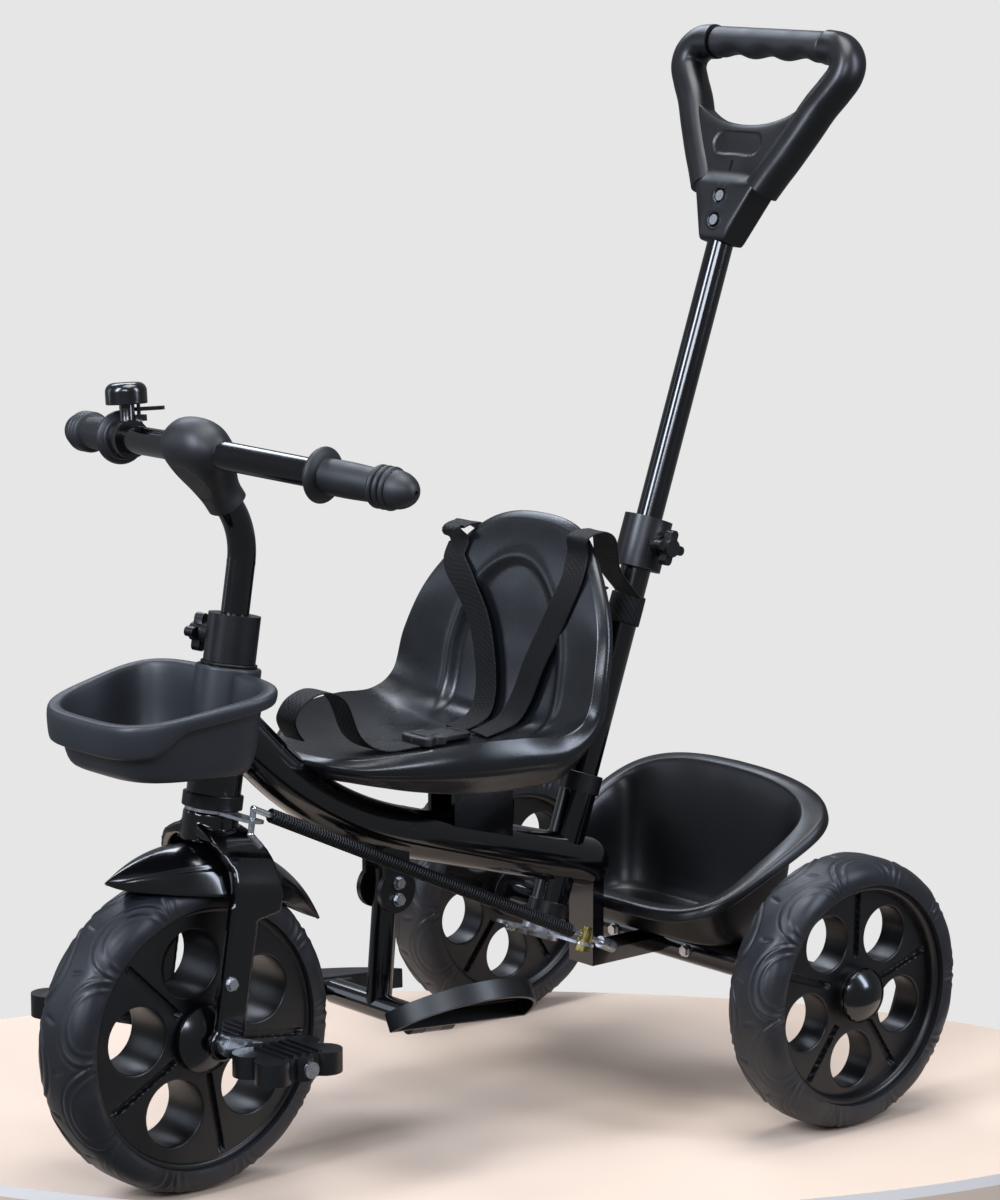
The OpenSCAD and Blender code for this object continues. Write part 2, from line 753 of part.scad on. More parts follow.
module front_basket() {
  l = front_basket_len / 2;
  w = front_basket_half;
  h = front_basket_h;
  rim = 9;
  lip = 7;
  draft = 9;
  taper = 0.3;
  zf = h - front_rim_drop;
  t = basket_t;
  sleeve_d = head_d + 9;
  sleeve_s = head_bottom + 36;
  sleeve_top = head_top - 0.5;
  color([0.17, 0.17, 0.18])
    difference() {
      union() {
        loft([
          outline(front_basket_mid, l - draft - 6, w - draft - 6, taper, 0, 0, 0.55),
          outline(front_basket_mid, l - draft, w - draft, taper, 6, 6, 0.55),
          outline(front_basket_mid, l - 4, w - 4, taper, h - rim, zf - 2 * rim, 0.55),
          outline(front_basket_mid, l + lip, w + lip, taper, h - rim, zf - 2 * rim, 0.55),
          outline(front_basket_mid, l + lip, w + lip, taper, h - 3, zf - 3, 0.55),
          outline(front_basket_mid, l + lip - 3, w + lip - 3, taper, h, zf, 0.55),
          outline(front_basket_mid, l - 3 - t, w - 3 - t, taper, h, zf, 0.55),
          outline(front_basket_mid, l - draft - t, w - draft - t, taper, 6, 6, 0.55),
          outline(front_basket_mid, l - draft - t - 5, w - draft - t - 5, taper, t, t, 0.55)
        ]);
        on_head(sleeve_s) cylinder(d = sleeve_d, h = sleeve_top - sleeve_s);
      }
      on_head() cylinder(d = head_d + 2 * fix_gap, h = 2 * head_top);
      beam_rod(beam_half + air_gap);
    }
}

rear_basket_floor = rear_r + axle_tube_d / 2 + fix_gap;
rear_basket_mid = [rear_x + rear_basket_fore - rear_basket_len / 2, 0, rear_basket_floor];

module rear_basket() {
  l = rear_basket_len / 2;
  w = rear_basket_half;
  hr = rear_basket_h;
  hf = rear_basket_lip;
  rim = 10;
  lip = 24;
  arch = 14;
  t = basket_t;
  foot_l = 0.6 * l;
  foot_w = 0.76 * w;
  p = 0.45;
  color([0.17, 0.17, 0.18])
    difference() {
      loft([
        outline(rear_basket_mid, foot_l - 8, foot_w - 8, 0, 0, 0, p),
        outline(rear_basket_mid, foot_l, foot_w, 0, 8, 8, p),
        outline(rear_basket_mid, l - lip + 1, w - lip + 1, 0.1, hr - rim, hf - rim, p, arch),
        outline(rear_basket_mid, l - 3, w - 3, 0.1, hr - rim - 2, hf - rim - 2, p, arch),
        outline(rear_basket_mid, l, w, 0.1, hr - 5, hf - 5, p, arch),
        outline(rear_basket_mid, l - 6, w - 6, 0.1, hr, hf, p, arch),
        outline(rear_basket_mid, l - lip + 2, w - lip + 2, 0.1, hr - 1, hf - 1, p, arch),
        outline(rear_basket_mid, l - lip - t, w - lip - t, 0.1, hr - 6, hf - 6, p, arch),
        outline(rear_basket_mid, foot_l - t, foot_w - t, 0, 8, 8, p),
        outline(rear_basket_mid, foot_l - t - 7, foot_w - t - 7, 0, t, t, p)
      ]);
      beam_rod(beam_half + air_gap);
    }
}

module frame_bolts() {
  color([0.75, 0.75, 0.77]) {
    for (x = [-1, 1])
      translate(seat_0 + [x * (bracket_l / 2 + 7.2), 0, -fix_gap]) mirror([0, 0, 1]) bolt_head(6);
    for (y = [-1, 1])
      translate([rear_x + axle_tube_d / 2 + fix_gap, y * 45, rear_r]) rotate([0, 90, 0]) bolt_head(5);
  }
}

// Footrest

foot_0 = [front_x - foot_x, 0, beam_z(front_x - foot_x) - foot_drop];
cheek_r = 18;
cheek_t = 5;
cheek_in = foot_d / 2 + fix_gap;
bolt_gap = 14;

// Middle of the crossbar, and a frame there with x along the hinges
foot_bar_0 = foot_0 + foot_leg * [sin(foot_lean), 0, -cos(foot_lean)];
module on_foot_bar() {
  translate(foot_bar_0) rotate([0, -foot_lean, 0]) children();
}

// Holes for the two bolts through the bracket
module foot_bolt_holes() {
  for (k = [-1, 1])
    translate(foot_0 + [0, -2 * cheek_r, k * bolt_gap / 2]) along_y()
      cylinder(d = 5 + 2 * fix_gap, h = 4 * cheek_r);
}

module footrest_bracket() {
  color([0.1, 0.1, 0.11])
    difference() {
      for (side = [-1, 1]) {
        translate(foot_0 + [0, side * cheek_in, 0]) rotate([-side * 90, 0, 0])
          cylinder(r = cheek_r, h = cheek_t);
        translate(foot_0 + [-cheek_r + 6, side > 0 ? cheek_in : -cheek_in - cheek_t, 0])
          cube([2 * cheek_r - 12, cheek_t, foot_drop]);
      }
      beam_rod(beam_half + fix_gap);
      foot_bolt_holes();
    }
}

pin_d = 6;
pin_half = 24;
knuckle_d = 15;
eye_half = 9;

module footrest_bolts() {
  reach = cheek_in + cheek_t + fix_gap;
  color([0.75, 0.75, 0.77]) {
    for (k = [-1, 1])
      translate(foot_0 + [0, 0, k * bolt_gap / 2]) {
        translate([0, -reach, 0]) along_y() cylinder(d = 5, h = 2 * reach);
        for (side = [-1, 1]) translate([0, side * reach, 0]) rotate([-side * 90, 0, 0]) bolt_head(5);
      }
    on_foot_bar()
      for (side = [-1, 1])
        translate([-pin_half, side * foot_hinge_y, 0]) rotate([0, 90, 0])
          cylinder(d = pin_d, h = 2 * pin_half);
  }
}

module footrest_frame() {
  bar_reach = foot_hinge_y - knuckle_d / 2 - air_gap;
  neck_t = 10;
  color([0.04, 0.04, 0.05])
    difference() {
      union() {
        translate(foot_0) rotate([0, 180 - foot_lean, 0])
          translate([0, 0, -cheek_r + 2]) cylinder(d = foot_d, h = foot_leg + cheek_r - 2);
        on_foot_bar() {
          translate([0, -bar_reach, 0]) along_y() cylinder(d = foot_d, h = 2 * bar_reach);
          translate([-eye_half, -foot_hinge_y, -neck_t / 2]) cube([2 * eye_half, 2 * foot_hinge_y, neck_t]);
          for (side = [-1, 1])
            translate([-eye_half, side * foot_hinge_y, 0]) rotate([0, 90, 0])
              cylinder(d = knuckle_d, h = 2 * eye_half);
        }
      }
      on_foot_bar()
        for (side = [-1, 1])
          translate([-2 * pin_half, side * foot_hinge_y, 0]) rotate([0, 90, 0])
            cylinder(d = pin_d + 2 * fix_gap, h = 4 * pin_half);
      foot_bolt_holes();
    }
}

// Footplate of one side, its hinge on the x axis and its plate towards side * y, set back behind the hinge
module footplate(side, fold) {
  inner = 13;
  set_back = 18;
  h = foot_plate_h;
  r = foot_plate_r;
  t = foot_plate_t;
  knuckle_l = pin_half - eye_half - air_gap - 2;
  on_foot_bar() translate([0, side * foot_hinge_y, 0])
    rotate([side * fold, 0, 0]) mirror([0, side > 0 ? 0 : 1, 0]) difference() {
      union() {
        translate([-set_back, 0, 0]) difference() {
          intersection() {
            translate([0, 4, -h / 2]) cylinder(r = r, h = h, $fn = 96);
            translate([-r, inner, -h]) cube([2 * r, 2 * r, 2 * h]);
          }
          intersection() {
            translate([0, 4, -h]) cylinder(r = r - t, h = 1.5 * h - t, $fn = 96);
            translate([-r, inner + t, -2 * h]) cube([2 * r, 2 * r, 4 * h]);
          }
        }
        for (k = [-1, 1])
          translate([k * (eye_half + air_gap + knuckle_l / 2), 0, 0]) {
            translate([-knuckle_l / 2, 0, 0]) rotate([0, 90, 0]) cylinder(d = knuckle_d, h = knuckle_l);
            translate([-knuckle_l / 2, 0, -3]) cube([knuckle_l, inner + t, 8]);
          }
      }
      translate([-2 * pin_half, 0, 0]) rotate([0, 90, 0]) cylinder(d = pin_d + 2 * run_gap, h = 4 * pin_half);
    }
}

module footplate_left() {
  color([0.1, 0.1, 0.11]) footplate(1, left_fold);
}

module footplate_right() {
  color([0.1, 0.1, 0.11]) footplate(-1, right_fold);
}

// Harness

// Ribbon of webbing through points, lying across the direction given
module ribbon(route, across) {
  m = len(route);
  rings = [
    for (i = [0:m - 1])
      let (d = unit(route[min(m - 1, i + 1)] - route[max(0, i - 1)]))
        let (s = unit(across - d * (across * d)), n = cross(s, d))
          [
            route[i] - s * strap_w / 2, route[i] - s * strap_w / 2 + n * strap_t,
            route[i] + s * strap_w / 2 + n * strap_t, route[i] + s * strap_w / 2
          ]
  ];
  sheet_loft(rings);
}

loop_t = push_collar_t - 48;
loop_in = push_d / 2 + air_gap;
lift = 1.7;

// Shoulder strap from the buckle up the backrest, over its top edge and back to the push tube
module shoulder_strap(side) {
  us = side > 0
    ? [0.12, 0.14, 0.17, 0.22, 0.3, 0.42, 0.55, 0.66, 0.74]
    : [0.12, 0.12, 0.13, 0.16, 0.22, 0.33, 0.52, 0.74, 0.9];
  over = side > 0 ? seat_pt(0.78, 0.97) : seat_pt(-0.95, 0.96);
  stand_off = loop_in + (side > 0 ? 0.5 : strap_t + air_gap);
  tube_front = push_pt(loop_t + strap_w - 1, stand_off) + [0, side * (strap_w / 2 + 0.7), 0];
  route = [
    for (i = [0:8]) let (v = 0.49 + 0.47 * i / 8) seat_pt(side * us[i], v) + lift * seat_n(side * us[i], v),
    over + [4, 0, 12],
    over + [-10, 0, 16],
    over + [-24, 0, 11],
    (over + tube_front) / 2 + [-4, 0, 5],
    tube_front
  ];
  ribbon(route, [0, 1, 0]);
}

module shoulder_strap_left() {
  color([0.05, 0.05, 0.06]) {
    shoulder_strap(1);
    on_push(loop_t) tube(2 * (loop_in + strap_t), 2 * loop_in, strap_w);
  }
}

module shoulder_strap_right() {
  color([0.05, 0.05, 0.06]) shoulder_strap(-1);
}

module front_strap() {
  lip = seat_pt(0, 0);
  route = [
    seat_pt(0, 0.33) + [0, 0, lift],
    seat_pt(0, 0.24) + [0, 0, lift],
    seat_pt(0, 0.18) + [0, 0, 13],
    lip + [-34, 0, 37],
    lip + [-14, 0, 47],
    lip + [6, 0, 42],
    lip + [16, 0, 30],
    lip + [14, 0, 20],
    lip + [8, 0, 12]
  ];
  color([0.05, 0.05, 0.06]) ribbon(route, [0, -1, 0]);
}

module buckle() {
  color([0.06, 0.06, 0.07])
    translate(seat_pt(0, 0.375) + [0, 0, 0.8]) {
      pad(34 * pan_k, 36, 9, 5);
      translate([-26 * pan_k, 0, 3]) pad(22 * pan_k, 30, 5, 3);
    }
}

// Fork

blade_back = 5;

// Cross-section of the fender from its middle to its left edge: a domed upper tier, a step and a flared skirt
fender_dome = 33;
fender_rows = [
  for (i = [0:6]) let (y = fender_dome * i / 6) [crown_bottom - fix_gap - 14 * pow(y / fender_dome, 2), y],
  [crown_bottom - 16, fender_dome + 4],
  [crown_bottom - 22, fender_w - 2.5],
  [crown_bottom - 38, fender_w]
];
fender_last = len(fender_rows) - 1;

// The same section from edge to edge, moved by d and narrowed by n on each side
function fender_line(d, n) = [
  for (i = [fender_last:-1:1]) [fender_rows[i].x + d, n - fender_rows[i].y],
  for (i = [0:fender_last]) [fender_rows[i].x + d, fender_rows[i].y - (i == 0 ? 0 : n)]
];

// Arch of the fork: its middle on the steering axis, and its inner and outer radius
arch_s = crown_bottom - 37.5;
arch_in = blade_y - blade_t / 2 - 0.4;
arch_out = blade_y + blade_t / 2 + 0.4;
arch_foot = 94;
function arch_line(r) = [for (i = [0:24]) [r * cos(7.5 * i), arch_s + r * sin(7.5 * i)]];
arch_side = [
  [-21, crown_top - 1], [21, crown_top - 1], [20, crown_bottom + 4], [8, crown_bottom - 16],
  [6, crown_bottom - 44], [-14, arch_foot + 2], [-38, crown_bottom - 46], [-40, crown_bottom - 32],
  [-32, crown_bottom - 2]
];

// Both shoulders in one: an arch over the wheel, cut to a leaf shape seen from the side
module fork_arch() {
  depth = 120;
  legs = [[-arch_out, arch_foot], [-arch_in, arch_foot]];
  inner = arch_line(arch_in);
  intersection() {
    rotate([90, 0, 90]) translate([0, 0, -depth / 2]) linear_extrude(depth)
      polygon([
        each arch_line(arch_out), each legs,
        for (i = [len(inner) - 1:-1:0]) inner[i],
        [arch_in, arch_foot], [arch_out, arch_foot]
      ]);
    rotate([90, 0, 0]) translate([0, 0, -depth / 2]) linear_extrude(depth) polygon(arch_side);
  }
}

module fork() {
  eye_d = 26;
  color([0.04, 0.04, 0.05])
    difference() {
      union() {
        on_head(crown_bottom) cylinder(d = crown_d, h = crown_top - crown_bottom);
        on_head() fork_arch();
        on_head(crown_bottom + 2) cylinder(d = steerer_d, h = steerer_top - crown_bottom - 2);
        for (side = [-1, 1])
          translate([front_x, side * blade_y - blade_t / 2, front_r]) rotate([0, -head_tilt, 0]) {
            along_y() cylinder(d = eye_d, h = blade_t);
            translate([-blade_w / 2 - blade_back, 0, 0]) cube([blade_w, blade_t, arch_s - 4]);
          }
      }
      on_head(crown_bottom - 4) cylinder(d = bar_d + 2 * run_gap, h = steerer_top);
      translate([front_x, -2 * blade_y, front_r]) along_y()
        cylinder(d = axle_d + 2 * run_gap, h = 4 * blade_y);
      on_head(stem_knob_s) rotate(stem_knob_turn) rotate([0, 90, 0])
        cylinder(d = knob_screw_d + 1, h = crown_d);
    }
}

module fork_screws() {
  color([0.75, 0.75, 0.77])
    for (side = [-1, 1])
      on_head(crank_r + crank_w / 2 + 5.5 + 2 * air_gap)
        translate([2, side * (blade_y + blade_t / 2 + fix_gap), 0])
          rotate([-side * 90, 0, 0]) bolt_head(5);
}

// Fender about the front axle, cut to a pointed oval in plan
module fender() {
  reach = 103;
  back = 30;
  lens_r = (reach * reach + fender_w * fender_w) / (2 * fender_w);
  inner = fender_line(-fender_t, 0.4 * fender_t);
  color([0.05, 0.05, 0.06])
    intersection() {
      translate([front_x, 0, front_r]) along_y() rotate_extrude($fn = 96)
        polygon([each fender_line(0, 0), for (i = [len(inner) - 1:-1:0]) inner[i]]);
      intersection_for(side = [-1, 1])
        translate([front_x - back, side * (lens_r - fender_w), front_r])
          cylinder(r = lens_r, h = 2 * crown_bottom, $fn = 128);
    }
}

module steering_lever() {
  color([0.75, 0.75, 0.77])
    on_head(lever_s + fix_gap)
      difference() {
        union() {
          cylinder(d = crown_d - 2, h = lever_t - fix_gap);
          rotate(90) round_bar(lever_arm, 18, lever_t - fix_gap);
        }
        translate([0, 0, -eps]) cylinder(d = steerer_d + 2 * fix_gap, h = lever_t + 2 * eps);
        translate([0, lever_arm, -eps]) cylinder(d = link_d + 2 * link_slack, h = lever_t + 2 * eps);
      }
}

link_slack = 1.5;

// Clamp collar with a boss for its screw
module collar(h, tube_d, slide_d, turn) {
  difference() {
    union() {
      cylinder(d = collar_d, h = h);
      translate([0, 0, h / 2]) rotate(turn) rotate([0, 90, 0]) cylinder(d = 18, h = collar_d / 2 + 5);
    }
    translate([0, 0, -eps]) cylinder(d = tube_d + 2 * fix_gap, h = h - collar_cap + eps);
    cylinder(d = slide_d + 2 * run_gap, h = h + eps);
    translate([0, 0, h / 2]) rotate(turn) rotate([0, 90, 0])
      cylinder(d = knob_screw_d + 2 * run_gap, h = collar_d);
  }
}

knob_screw_d = 6;
knob_seat = collar_d / 2 + 5 + air_gap;
stem_knob_turn = -75;
push_knob_turn = 90;
stem_knob_s = stem_collar_s + stem_collar_h / 2;
push_knob_t = push_collar_t + push_collar_h / 2;

// Star knob on a screw along x, whose tip stops short of the clamped tube
module star_knob(tip) {
  knob_h = 12;
  arms = 4;
  translate([tip, 0, 0]) rotate([0, 90, 0]) cylinder(d = knob_screw_d, h = knob_seat - tip + 2);
  translate([knob_seat, 0, 0]) rotate([0, 90, 0]) {
    cylinder(d = 15, h = knob_h);
    for (i = [0:arms - 1]) rotate(i * 360 / arms) {
      translate([0, -4, 2]) cube([11, 8, knob_h - 4]);
      translate([11, 0, 2]) cylinder(d = 8, h = knob_h - 4);
    }
  }
}

module stem_collar() {
  color([0.13, 0.13, 0.14]) on_head(stem_collar_s) collar(stem_collar_h, steerer_d, bar_d, stem_knob_turn);
}

module stem_knob() {
  color([0.05, 0.05, 0.06]) on_head(stem_knob_s) rotate(stem_knob_turn) star_knob(bar_d / 2 + air_gap);
}

// Handlebar

stem_foot = head_top - 60;

// Line of the stem as a round rod
module stem_rod(d) {
  on_head(stem_foot) cylinder(d = d, h = stem_top - stem_foot);
  on_head(stem_top) {
    weld_band(d / 2);
    translate([stem_bend_r, 0, 0]) rotate([90, 0, 0]) rotate([0, 0, 180 - stem_bend])
      rotate_extrude(angle = stem_bend) translate([stem_bend_r, 0]) circle(d = d);
    translate([stem_bend_r * (1 - cos(stem_bend)), 0, stem_bend_r * sin(stem_bend)])
      rotate([0, stem_bend, 0]) {
        cylinder(d = d, h = stem_reach);
        weld_band(d / 2);
      }
  }
}

// Sleeve of the bar where the stem meets it
sleeve_d = 27;
sleeve_half = 16;
module bar_sleeve(gap) {
  translate(bar_c - [0, sleeve_half + gap, 0]) along_y()
    cylinder(d = sleeve_d + 2 * gap, h = 2 * (sleeve_half + gap));
}

module stem() {
  color([0.03, 0.03, 0.05])
    difference() {
      stem_rod(bar_d);
      bar_sleeve(fix_gap);
    }
}

bar_end = bar_half - 10;

module handlebar() {
  color([0.03, 0.03, 0.05]) {
    on_bar(1) cylinder(d = bar_d, h = bar_end);
    on_bar(-1) cylinder(d = bar_d, h = bar_end);
    bar_sleeve(0);
  }
}

module grip() {
  cap_l = 44;
  flange_t = 10;
  flange_at = bar_half - grip_len;
  cap_at = bar_half - cap_l;
  rib_d = grip_d + 5;
  difference() {
    union() {
      translate([0, 0, flange_at]) cylinder(d = flange_d, h = flange_t);
      translate([0, 0, flange_at]) cylinder(d = grip_d, h = grip_len - 14);
      for (i = [0:2]) translate([0, 0, cap_at + 10 * i]) cylinder(d = rib_d, h = 6.5);
      translate([0, 0, cap_at]) cylinder(d = grip_d + 2, h = cap_l - 10);
      intersection() {
        translate([0, 0, bar_half - 17]) sphere(d = rib_d - 1);
        translate([0, 0, bar_half - 17]) cylinder(d = rib_d, h = 17);
      }
    }
    translate([0, 0, flange_at - eps])
      cylinder(d = bar_d + 2 * fix_gap, h = bar_end - flange_at + eps + fix_gap);
  }
}

module grip_left() { color([0.12, 0.12, 0.13]) on_bar(1) grip(); }
module grip_right() { color([0.12, 0.12, 0.13]) on_bar(-1) grip(); }

module bar_cover() {
  color([0.1, 0.1, 0.11])
    difference() {
      hull() {
        for (side = [-1, 1]) translate(bar_c + [-7, side * 13, 0]) sphere(d = 40, $fn = 32);
        on_head(stem_top) translate([stem_bend_r * (1 - cos(stem_bend)), 0, stem_bend_r * sin(stem_bend)])
          rotate([0, stem_bend, 0]) translate([0, 0, 4]) cylinder(d = 30, h = 2, $fn = 32);
      }
      for (side = [-1, 1]) on_bar(side) cylinder(d = bar_d + 2 * fix_gap, h = bar_half);
      bar_sleeve(fix_gap);
      stem_rod(bar_d + 2 * fix_gap);
    }
}

// Bell on the right half of the bar, inboard of the grip's flange
bell_at = bar_half - grip_len - 8;

module on_bell() {
  on_bar(-1) translate([0, 0, bell_at]) rotate([90 - bar_droop, 0, 180]) children();
}

module bell_base() {
  color([0.06, 0.06, 0.07])
    difference() {
      union() {
        on_bar(-1) translate([0, 0, bell_at - 7]) cylinder(d = bar_d + 8, h = 14);
        on_bell() translate([0, 0, bar_d / 2]) cylinder(d = 12, h = bell_rise - bar_d / 2 + 2);
        on_bell() translate([0, 0, bell_rise]) cylinder(d = 5, h = bell_h - 2);
        on_bell() translate([4, -6, bar_d / 2 + 2]) cube([10, 12, 5]);
      }
      on_bar(-1) cylinder(d = bar_d + 2 * fix_gap, h = bar_half);
      on_bell() translate([striker_x, 0, 0])
        cylinder(d = striker_pin_d + 2 * run_gap, h = bell_rise + bell_h);
    }
}

module bell_dome() {
  wall = 1.6;
  round_r = 7;
  color([0.03, 0.03, 0.04])
    on_bell() translate([0, 0, bell_rise])
      difference() {
        union() {
          cylinder(d = bell_d, h = bell_h - round_r);
          rotate_extrude() {
            square([bell_d / 2 - round_r, bell_h]);
            translate([bell_d / 2 - round_r, bell_h - round_r]) circle(r = round_r);
          }
        }
        translate([0, 0, -eps]) cylinder(d = bell_d - 2 * wall, h = bell_h - round_r + eps);
        translate([0, 0, -eps]) cylinder(d = bell_d - 2 * round_r, h = bell_h - wall + eps);
      }
}

striker_x = 10;
striker_pin_d = 3;

module bell_striker() {
  lever_z = bell_rise - 6;
  color([0.05, 0.05, 0.06])
    on_bell() {
      translate([striker_x, 0, bar_d / 2 + 2]) cylinder(d = striker_pin_d, h = lever_z - bar_d / 2 + 4);
      translate([striker_x, 0, lever_z]) rotate(-20) round_bar(17, 7, 3);
    }
}

// Front axle with cranks

web_t = 7;
crank_w = 16;
web_at = blade_y + blade_t / 2 + air_gap;
pedal_at = web_at + web_t + air_gap;
pin_end = pedal_at + pedal_w + air_gap;
pedal_pin_d = 8;

function crank_tip(side) = side * crank_r * [cos(crank_turn), 0, sin(crank_turn)];

module crank_axle() {
  color([0.6, 0.6, 0.62])
    translate([front_x, 0, front_r]) {
      translate([0, -web_at - web_t / 2, 0]) along_y() cylinder(d = axle_d, h = 2 * web_at + web_t);
      for (side = [-1, 1]) {
        translate([0, side > 0 ? web_at : -web_at - web_t, 0])
          rotate([0, -crank_turn + (side > 0 ? 0 : 180), 0]) along_y() round_bar(crank_r, crank_w, web_t);
        translate(crank_tip(side) + [0, side * (web_at + web_t / 2), 0]) rotate([-side * 90, 0, 0])
          cylinder(d = pedal_pin_d, h = pin_end - web_at - web_t / 2);
        translate(crank_tip(side) + [0, side * pin_end, 0]) rotate([-side * 90, 0, 0])
          cylinder(d = 13, h = 3);
      }
    }
}

// Scalloped pedal about its pin along y, from y = 0 outwards
module pedal() {
  lobe_d = 28;
  lobes = [[-1, -1], [-1, 1], [1, -1], [1, 1]];
  color([0.1, 0.1, 0.11])
    difference() {
      translate([0, pedal_w / 2, -pedal_t / 2]) {
        for (k = lobes)
          translate([k[0] * (pedal_l / 2 - lobe_d / 2), k[1] * (pedal_w / 2 - lobe_d / 2), 0])
            cylinder(d = lobe_d, h = pedal_t);
        for (k = [-1, 1]) translate([0, k * (pedal_w / 2 - 10), 0]) cylinder(d = 20, h = pedal_t);
        translate([-pedal_l / 2 + lobe_d / 2, -pedal_w / 2 + 6, 0])
          cube([pedal_l - lobe_d, pedal_w - 12, pedal_t]);
        for (i = [-2:2]) translate([8 * i - 1.5, -pedal_w / 2 + 8, 0]) cube([3, pedal_w - 16, pedal_t + 2]);
      }
      translate([0, -eps, 0]) along_y() cylinder(d = pedal_pin_d + 2 * run_gap, h = pedal_w + 2 * eps);
    }
}

module pedal_left() {
  translate([front_x, pedal_at, front_r] + crank_tip(1)) pedal();
}

module pedal_right() {
  translate([front_x, -pedal_at, front_r] + crank_tip(-1)) mirror([0, 1, 0]) pedal();
}

// Push bar

push_slide_bore = bar_d + 2 * run_gap;

module push_tube_lower() {
  color([0.03, 0.03, 0.05])
    on_push(push_lever_t)
      difference() {
        cylinder(d = push_d, h = push_collar_top - collar_cap - push_lever_t - fix_gap);
        translate([0, 0, 6]) cylinder(d = push_slide_bore, h = push_collar_top - push_lever_t);
        translate([0, 0, push_knob_t - push_lever_t]) rotate(push_knob_turn) rotate([0, 90, 0])
          cylinder(d = knob_screw_d + 1, h = push_d);
      }
}

module push_collar() {
  color([0.13, 0.13, 0.14]) on_push(push_collar_t) collar(push_collar_h, push_d, bar_d, push_knob_turn);
}

module push_knob() {
  color([0.05, 0.05, 0.06]) on_push(push_knob_t) rotate(push_knob_turn) star_knob(bar_d / 2 + air_gap);
}

clamp_pin_d = 8;

module push_lever() {
  color([0.75, 0.75, 0.77])
    on_push(push_lever_t) {
      difference() {
        union() {
          cylinder(d = push_d + 9, h = push_hub_h);
          cylinder(d = push_d + 16, h = lever_t);
          rotate(90) round_bar(lever_arm, 18, lever_t);
          rotate(-10) round_bar(30, 26, lever_t);
        }
        translate([0, 0, -eps]) cylinder(d = push_d + 2 * fix_gap, h = push_hub_h + 2 * eps);
        translate([0, lever_arm, -eps]) cylinder(d = clamp_pin_d + 2 * run_gap, h = lever_t + 2 * eps);
      }
      translate([0, 0, -fix_gap]) mirror([0, 0, 1]) cylinder(d = push_d + 4, h = 4);
      for (x = [18, 30]) rotate(-10) translate([x, 0, 0]) mirror([0, 0, 1]) bolt_head(5);
    }
}

push_insert = 70;

module push_tube_upper() {
  foot = push_collar_t - push_insert;
  color([0.03, 0.03, 0.05])
    on_push(foot) tube(bar_d, bar_d - 2 * 1.5, handle_t + 70 - foot);
}

// Limb of the handle: an oval carried along a curve in the handle's plane
limb_n = 14;
limb_path = [
  [32, 49], [41, 64], [50, 78], [64, 102], [handle_half - 20, 122], [handle_half - 8, 138],
  [handle_half, 152], [handle_half - 2, 164], [handle_half - 11, grip_rise - 2],
  [push_grip_half + 2, grip_rise]
];

module limb(side) {
  m = len(limb_path);
  rings = [
    for (i = [0:m - 1])
      let (d = unit(limb_path[min(m - 1, i + 1)] - limb_path[max(0, i - 1)]))
        [
          for (k = [0:limb_n - 1])
            let (a = 360 * k / limb_n, r = limb_w / 2 * cos(a))
              [-limb_t / 2 * sin(a), limb_path[i][0] + r * d[1], limb_path[i][1] - r * d[0]]
        ]
  ];
  mirror([0, side > 0 ? 0 : 1, 0]) loft(rings);
}

plate_t = 22;

module push_handle() {
  bowl = 48;
  neck_h = 47;
  color([0.1, 0.1, 0.11])
    on_push(handle_t)
      difference() {
        union() {
          difference() {
            union() {
              limb(1);
              limb(-1);
            }
            translate([0, -push_grip_half - fix_gap, grip_rise]) along_y()
              cylinder(d = push_grip_d + 2 * air_gap, h = 2 * (push_grip_half + fix_gap));
          }
          rotate([90, 0, 90]) translate([0, 0, -plate_t / 2]) linear_extrude(plate_t) difference() {
            polygon([
              [-14, 0], [14, 0], [34, neck_h], [handle_half - 10, 146], [10 - handle_half, 146], [-34, neck_h]
            ]);
            polygon([
              for (a = [0:7.5:352.5]) [(handle_half - 14.5) * cos(a), 102 + bowl * (1 + sin(a))]
            ]);
          }
          rotate([90, 0, 90]) translate([0, 0, -limb_t / 2]) linear_extrude(limb_t)
            polygon([[-15, 0], [15, 0], [36, neck_h], [-36, neck_h]]);
          translate([0, -push_grip_half - 4, grip_rise]) along_y()
            cylinder(d = push_grip_d - 12, h = 2 * push_grip_half + 8);
        }
        translate([0, 0, -eps]) cylinder(d = bar_d + 2 * fix_gap, h = 70 + eps + fix_gap);
        for (z = handle_screw_z) translate([0, 0, z]) rotate([0, 90, 0]) cylinder(d = 10, h = limb_t);
        translate([plate_t / 2 - 1, -18, 85]) rotate([90, 0, 90]) round_bar(36, 20, limb_t);
      }
}

handle_screw_z = [17, 38];

module push_grip() {
  lumps = 4;
  step = 2 * push_grip_half / lumps;
  color([0.07, 0.07, 0.08])
    on_push(handle_t + grip_rise) translate([0, -push_grip_half, 0]) along_y()
      difference() {
        union() {
          cylinder(d = push_grip_d - 3, h = 2 * push_grip_half);
          for (i = [0:lumps]) translate([0, 0, max(0, i * step - 5)])
            cylinder(d = push_grip_d, h = i == 0 || i == lumps ? 5 : 10);
        }
        translate([0, 0, -eps])
          cylinder(d = push_grip_d - 12 + 2 * fix_gap, h = 2 * push_grip_half + 2 * eps);
      }
}

module handle_screws() {
  color([0.75, 0.75, 0.77])
    on_push(handle_t)
      for (z = handle_screw_z) translate([bar_d / 2 + fix_gap, 0, z]) rotate([0, 90, 0])
        cylinder(d = 9, h = 4);
}

// Steering link

spring_start = 15;
spring_end = link_len - 15;
spring_r = (spring_d - spring_wire) / 2;
spring_sides = 6;
spring_steps = 8;
tail = spring_wire;

